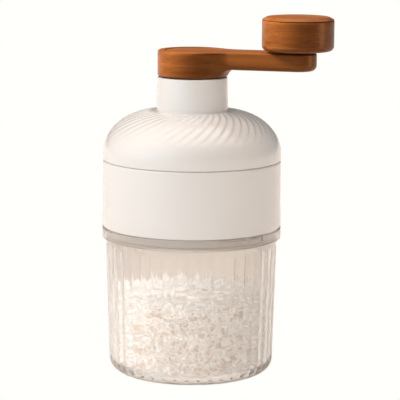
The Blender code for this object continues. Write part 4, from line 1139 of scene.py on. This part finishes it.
def arm_bores():
    """A cutter for the hollow under the hub, the drive socket and the axle's thread."""
    inner, outer, top = HUB_CORE_RADIUS, HUB_RADIUS - HUB_WALL, CAP_FLOOR - 4.5 * MM
    below = HUB_BOTTOM - MM
    corners = [(inner, below), (outer, below), (outer, top, 1.0), (inner, top, 1.0)]
    pocket = lathe("pocket", rounded(corners, steps=3), 96)
    side, top = 7.4 * MM, HIGH["drive_shaft"].z + 0.5 * MM
    height = top - HUB_BOTTOM + MM
    socket = box("socket", (side, side, height), (0, 0, top - height / 2))
    radius, end = 2.7 * MM, LOW["knob_axle"].z - FIT_GAP
    corners = [(0.0, CRANK_TOP + MM), (radius, CRANK_TOP + MM), (radius, end), (0.0, end)]
    thread = lathe("thread", corners, 32, centre=(CRANK_REACH, 0.0))
    return joined("bores", [pocket, socket, thread])


def make_crank_arm():
    arm = smooth_arm()
    carve(arm, arm_well())
    carve(arm, arm_bores())
    settle(arm, "crank_arm", sharp=40)


def make_crank_fixings():
    make_ring("crank_washer", 0.15, 2.3 * MM, 48)
    node, shank = "crank_screw", 2.0 * MM
    top, bottom, head = HIGH[node].z, LOW[node].z, HIGH[node].x
    under = HIGH["crank_washer"].z + FIT_GAP
    corners = [
        (0.0, top), (head, top, 0.6), (head, under, 0.2),
        (shank, under, 0.2), (shank, bottom, 0.4), (0.0, bottom),
    ]
    screw = lathe(node, open_line(corners, steps=3), 48)
    cut_socket(screw, (0.0, 0.0), top, 1.7 * MM)
    settle(screw, node)
    node = "crank_cap"
    top, bottom = HIGH[node].z, LOW[node].z
    corners = [
        (0.0, top), (CAP_RADIUS * 0.6, top - 0.05 * MM, 2.0),
        (CAP_RADIUS, top - 0.35 * MM, 0.5), (CAP_RADIUS, bottom, 0.2), (0.0, bottom),
    ]
    settle(lathe(node, open_line(corners, steps=4), 128), node)


def make_axle():
    node, centre = "knob_axle", (CRANK_REACH, 0.0)
    head, bottom, top = extent(node)
    under, shoulder = top - 2.4 * MM, CRANK_TOP + FIT_GAP
    journal, thread = 4.0 * MM, 2.4 * MM
    corners = [
        (0.0, top), (head, top, 0.5), (head, under, 0.2), (journal, under, 0.2),
        (journal, shoulder, 0.2), (thread, shoulder, 0.2), (thread, bottom, 0.4), (0.0, bottom),
    ]
    axle = lathe(node, open_line(corners, steps=3), 48, centre=centre)
    cut_socket(axle, centre, top, 2.6 * MM)
    settle(axle, node)
    node, bore = "knob_washer", 4.3 * MM
    outer, bottom, top = extent(node)
    corners = [(outer, top, 0.2), (outer, bottom, 0.2), (bore, bottom), (bore, top)]
    settle(lathe(node, rounded(corners, steps=3), 64, centre=centre), node)


def make_knob():
    """A drum with a rounded foot, and its cap with a broad sloping rim."""
    centre = (CRANK_REACH, 0.0)
    node = "knob_body"
    top, bottom = HIGH[node].z, LOW[node].z
    floor, plug, web = bottom + 8.6 * MM, top - 4.2 * MM, bottom + 3.6 * MM
    bore, cavity, shell = 4.3 * MM, 9.5 * MM, KNOB_RADIUS - 2.8 * MM
    core = cavity + 2.5 * MM
    corners = [
        (KNOB_RADIUS, top, 0.7), (KNOB_RADIUS, bottom, 3.4), (bore, bottom, 0.3),
        (bore, floor, 0.3), (cavity, floor, 0.4), (cavity, plug, 0.3), (core, plug, 0.3),
        (core, web, 0.8), (shell, web, 1.5), (shell, top, 0.3),
    ]
    settle(lathe(node, rounded(corners, steps=8), 192, centre=centre), node)
    node = "knob_cap"
    crown, plug_bottom = HIGH[node].z, LOW[node].z
    under, rise, plug_radius = top + FIT_GAP, crown - 0.4 * MM, shell - FIT_GAP
    corners = [
        (0.0, crown), (KNOB_RADIUS * 0.45, crown - 0.08 * MM, 8.0),
        (KNOB_RADIUS - 3.3 * MM, rise, 0.9), (KNOB_RADIUS, under + 0.25 * MM, 0.35),
        (KNOB_RADIUS - 0.2 * MM, under, 0.1), (plug_radius, under, 0.1),
        (plug_radius, plug_bottom, 0.4), (0.0, plug_bottom),
    ]
    settle(lathe(node, open_line(corners, steps=6), 192, centre=centre), node)


# ======== grated contents, which aren't part of the object


def heap_top(x, y):
    """Height of the loose heap over the jar's floor."""
    front = (x * math.sin(HEAP_HEADING) - y * math.cos(HEAP_HEADING)) / 0.05
    swell = 5.0 * np.exp(-(x**2 + y**2) / 0.0009)
    ripple = 1.6 * np.sin(x * 95 + 0.6) * np.cos(y * 80) + 0.8 * np.sin(x * 210 - y * 160)
    return HEAP_HEIGHT + (5.0 * front + swell + ripple) * MM


def inner_radius(height):
    """The jar's bore, with a little room."""
    foot = FOOT_RADIUS - JAR_WALL / 2
    corner = JAR_FLOOR + foot
    wall = wall_radius(np.maximum(height, corner)) - JAR_WALL
    sunk = np.clip(corner - height, 0.0, foot)
    return wall - (foot - np.sqrt(foot**2 - sunk**2)) - 0.5 * MM


def flake_places(rng):
    """Where each shred lies: most against the wall, and the rest over the top of the heap."""
    share_at_wall = 0.62
    turn = rng.uniform(0, 2 * math.pi, FLAKE_COUNT)
    outer = rng.random(FLAKE_COUNT) < share_at_wall
    at_wall = rng.uniform(0.90, 1.0, FLAKE_COUNT)
    radius = np.where(outer, at_wall, np.sqrt(rng.random(FLAKE_COUNT))) * HEAP_RADIUS
    x, y = radius * np.cos(turn), radius * np.sin(turn)
    anywhere = rng.random(FLAKE_COUNT)
    depth = np.where(outer, anywhere, rng.uniform(0.86, 1.04, FLAKE_COUNT))
    z = JAR_FLOOR + 1.0 * MM + depth * (heap_top(x, y) - JAR_FLOOR)
    return np.stack((x, y, z), axis=-1)


def flake_shapes(rng):
    """Curled, twisted and ragged strips, as four corners at each of their stations."""
    stations = np.linspace(-0.5, 0.5, FLAKE_STATIONS)
    length = rng.uniform(3.0, 9.0, FLAKE_COUNT) * MM
    width = rng.uniform(1.0, 3.2, FLAKE_COUNT) * MM
    thick = rng.uniform(0.35, 0.95, FLAKE_COUNT) * MM
    curl = rng.uniform(-1.0, 1.0, FLAKE_COUNT) * 2.4
    twist = rng.uniform(-1.0, 1.0, FLAKE_COUNT) * 1.3
    ragged = rng.uniform(0.55, 1.15, (FLAKE_COUNT, FLAKE_STATIONS))
    ragged[:, [0, -1]] *= 0.5
    angle = curl[:, None] * stations
    spin = twist[:, None] * stations
    bend = np.where(np.abs(curl) < 0.05, 0.05, curl)[:, None]
    along = length[:, None] * np.sin(angle) / bend
    sag = length[:, None] * (1 - np.cos(angle)) / bend
    points = np.zeros((FLAKE_COUNT, FLAKE_STATIONS, 4, 3))
    for k, (side, up) in enumerate([(-0.5, -0.5), (0.5, -0.5), (0.5, 0.5), (-0.5, 0.5)]):
        across = side * width[:, None] * ragged
        lift = up * thick[:, None] * ragged**0.5
        points[:, :, k, 0] = along - lift * np.sin(angle)
        points[:, :, k, 1] = across * np.cos(spin) - lift * np.sin(spin)
        points[:, :, k, 2] = sag + lift * np.cos(angle) + across * np.sin(spin)
    return points


def random_turns(rng):
    """A rotation matrix for each shred."""
    axes = rng.normal(size=(FLAKE_COUNT, 4))
    axes /= np.linalg.norm(axes, axis=1, keepdims=True)
    w, a, b, c = axes.T
    return np.array(
        [
            [1 - 2 * (b * b + c * c), 2 * (a * b - c * w), 2 * (a * c + b * w)],
            [2 * (a * b + c * w), 1 - 2 * (a * a + c * c), 2 * (b * c - a * w)],
            [2 * (a * c - b * w), 2 * (b * c + a * w), 1 - 2 * (a * a + b * b)],
        ]
    )


def flake_faces():
    """Quads round each strip, and one over each of its ends."""
    last = 4 * (FLAKE_STATIONS - 1)
    strip = [(3, 2, 1, 0), (last, last + 1, last + 2, last + 3)]
    for start in range(0, last, 4):
        for k in range(4):
            j = (k + 1) % 4
            strip.append((start + k, start + j, start + 4 + j, start + 4 + k))
    shift = 4 * FLAKE_STATIONS * np.arange(FLAKE_COUNT)[:, None, None]
    return (np.array(strip)[None] + shift).reshape(-1, 4)


def make_flakes():
    """Thousands of small curled shreds, loose against the wall and over the top of the heap."""
    rng = np.random.default_rng(SEED)
    places = flake_places(rng)
    points = flake_shapes(rng)
    points = np.einsum("ijn,nskj->nski", random_turns(rng), points)
    points = (points + places[:, None, None, :]).reshape(-1, 3)
    points[:, 2] = np.maximum(points[:, 2], JAR_FLOOR + 0.4 * MM)
    reach = np.maximum(np.hypot(points[:, 0], points[:, 1]), 1e-6)
    points[:, :2] *= np.minimum(1.0, inner_radius(points[:, 2]) / reach)[:, None]
    mesh = bpy.data.meshes.new("flakes")
    mesh.from_pydata(points.tolist(), [], flake_faces().tolist())
    mesh.shade_smooth()
    mesh.materials.append(
        flake_material("flakes", (0.98, 0.97, 0.95), (0.95, 0.91, 0.86), (0.55, 0.18))
    )
    linked("flakes", mesh)


def make_heap_core():
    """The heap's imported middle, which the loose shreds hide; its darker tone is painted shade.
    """
    rim, top, rows = 48.5, 44.0, 40
    under_top = (top - 1) * MM
    profile = [(0.0, JAR_FLOOR + 0.6 * MM), *arc((44 * MM, 10 * MM), (4 * MM, 6 * MM), -90, 0, 6)]
    profile += [(rim * MM, z * MM) for z in np.linspace(14, 42, 12).tolist()]
    profile += [(rim * (1 - i / rows) * MM, top * MM) for i in range(rows)]
    profile += [(0.0, top * MM)]

    def form(radius, height, heading):
        turn = np.radians(heading)
        x, y = radius * np.cos(turn), radius * np.sin(turn)
        lumps = np.sin(x * 700 + y * 300) * np.sin(y * 640 - x * 220 + height * 500)
        surface = heap_top(x, y) - 4.5 * MM + lumps * 1.2 * MM
        wavy = radius * (1 + 0.02 * lumps * (height < under_top))
        return wavy, np.where(height > under_top, surface, height)

    core = lathe("heap_core", profile, 160, form)
    core.data.shade_smooth()
    # painted shade: this darker beige stands for the shade in the gaps between the shreds, with a
    # weaker painted glow
    core.data.materials.append(
        flake_material("heap_core", (0.82, 0.70, 0.58), (0.66, 0.51, 0.39), (0.20, 0.06))
    )


# ======== studio


def make_floor():
    """A pale floor that the camera sees as white paper, well beyond the object's surroundings."""
    bpy.ops.mesh.primitive_circle_add(vertices=96, radius=FLOOR_RADIUS, fill_type="NGON")
    floor = bpy.context.object
    floor.name = "floor"
    floor.location.z = -0.2 * MM
    made, tree, shader = principled("floor", (0.90, 0.885, 0.86), 0.9)
    shader.inputs["Specular IOR Level"].default_value = 0.0
    glow = add(tree, "Emission", Color=PAPER, Strength=1.0)
    rays = add(tree, "LightPath").outputs
    straight = output(
        tree, "Math", {"operation": "MAXIMUM"},
        i0=rays["Is Camera Ray"], i1=rays["Is Transmission Ray"],
    )
    seen_as(tree, "Material Output", straight, shader, glow)
    floor.data.materials.append(made)


def make_world():
    """Studio surroundings: a ring of tones at eye level, a ring above it and a ceiling."""
    world = bpy.data.worlds.new("studio")
    world.use_nodes = True
    bpy.context.scene.world = world
    tree = world.node_tree
    where = add(tree, "TexCoord").outputs["Generated"]
    faced = output(
        tree, "VectorRotate", {"rotation_type": "Z_AXIS"},
        Vector=where, Angle=-math.radians(CAMERA_AZIMUTH),
    )
    parts = add(tree, "SeparateXYZ", Vector=faced).outputs
    back = output(tree, "Math", {"operation": "MULTIPLY"}, i0=parts[1], i1=-1.0)
    side = output(tree, "Math", {"operation": "ARCTAN2"}, i0=parts[0], i1=back)
    around = spread(tree, side, 0.0, 1.0, -math.pi, math.pi)
    rings = []
    for tones in (LOW_RING, HIGH_RING):
        colours = [[strength * part for part in tint] for strength, tint in tones]
        stops = [(i / len(tones), colour) for i, colour in enumerate([*colours, colours[0]])]
        rings.append(ramp(tree, around, stops))
    kind = {"data_type": "RGBA"}
    lift = spread(tree, parts[2], 0.0, 1.0, 0.15, 0.6)
    lower = add(tree, "Mix", kind, i0=lift, i6=rings[0], i7=rings[1]).outputs[2]
    over = spread(tree, parts[2], 0.0, 1.0, 0.6, 1.0)
    upper = add(tree, "Mix", kind, i0=over, i6=lower, i7=CEILING).outputs[2]
    lit = tree.nodes["Background"]
    tree.links.new(upper, lit.inputs["Color"])
    seen = add(tree, "Background", Color=PAPER, Strength=1.0)
    camera_ray = add(tree, "LightPath").outputs["Is Camera Ray"]
    seen_as(tree, "World Output", camera_ray, lit, seen)


def make_light(name, azimuth, elevation, distance, size, power, colour, receivers):
    """A soft light on some pieces. Its azimuth is measured from the camera, to the right."""
    light = bpy.data.lights.new(name, "AREA")
    light.shape = "RECTANGLE"
    light.size, light.size_y = size
    light.energy = power
    light.color = colour
    obj = linked(name, light)
    turn, rise = math.radians(azimuth + CAMERA_AZIMUTH), math.radians(elevation)
    level = math.cos(rise)
    away = Vector((math.sin(turn) * level, -math.cos(turn) * level, math.sin(rise)))
    obj.location = Vector((0, 0, CRANK_TOP)) + away * distance
    obj.rotation_euler = away.to_track_quat("Z", "Y").to_euler()
    obj.light_linking.receiver_collection = receivers
    return obj


def light_crank():
    """The handle's own lights: a key from the left that only shades and a glint on the right."""
    lit = bpy.data.collections.new("crank_receivers")
    for obj in bpy.context.scene.objects:
        if obj.name.endswith("_fine") and SLOT_OF[obj.name[:-5]] == "brown_handle":
            lit.objects.link(obj)
    key = make_light(
        "crank_key", azimuth=-90, elevation=42, distance=1.5, size=(0.6, 0.6), power=112.0,
        colour=(1.0, 1.0, 0.95), receivers=lit,
    )
    key.visible_glossy = False
    strip = make_light(
        "crank_strip", azimuth=78, elevation=8, distance=1.2, size=(0.22, 1.0), power=7.0,
        colour=(1.0, 0.62, 0.38), receivers=lit,
    )
    strip.visible_diffuse = False


def make_camera():
    camera = linked("camera", bpy.data.cameras.new("camera"))
    camera.data.lens = CAMERA_LENS
    camera.data.sensor_width = SENSOR
    camera.data.clip_start, camera.data.clip_end = 0.05, 60.0
    turn = Matrix.Rotation(math.radians(CAMERA_AZIMUTH), 4, "Z")
    place_back = Matrix.Translation((CAMERA_SIDE, -CAMERA_DISTANCE, CAMERA_HEIGHT))
    tilt = Matrix.Rotation(math.radians(90 - CAMERA_PITCH), 4, "X")
    roll = Matrix.Rotation(math.radians(CAMERA_ROLL), 4, "Z")
    camera.matrix_world = turn @ place_back @ tilt @ roll
    bpy.context.scene.camera = camera


def make_object():
    make_jar()
    make_seals()
    make_body()
    make_disc()
    make_screws("disc_screw", 3)
    make_screws("blade_screw", 4)
    make_blade("blade_1", ("blade_screw_1", "blade_screw_2"))
    make_blade("blade_2", ("blade_screw_3", "blade_screw_4"))
    make_lid()
    make_bearing()
    make_shaft()
    make_clip()
    make_pusher()
    make_spring()
    make_crank_arm()
    make_crank_fixings()
    make_axle()
    make_knob()


make_object()
make_heap_core()
make_flakes()
make_floor()
make_world()
light_crank()
make_camera()
bpy.context.scene.view_settings.view_transform = "Standard"
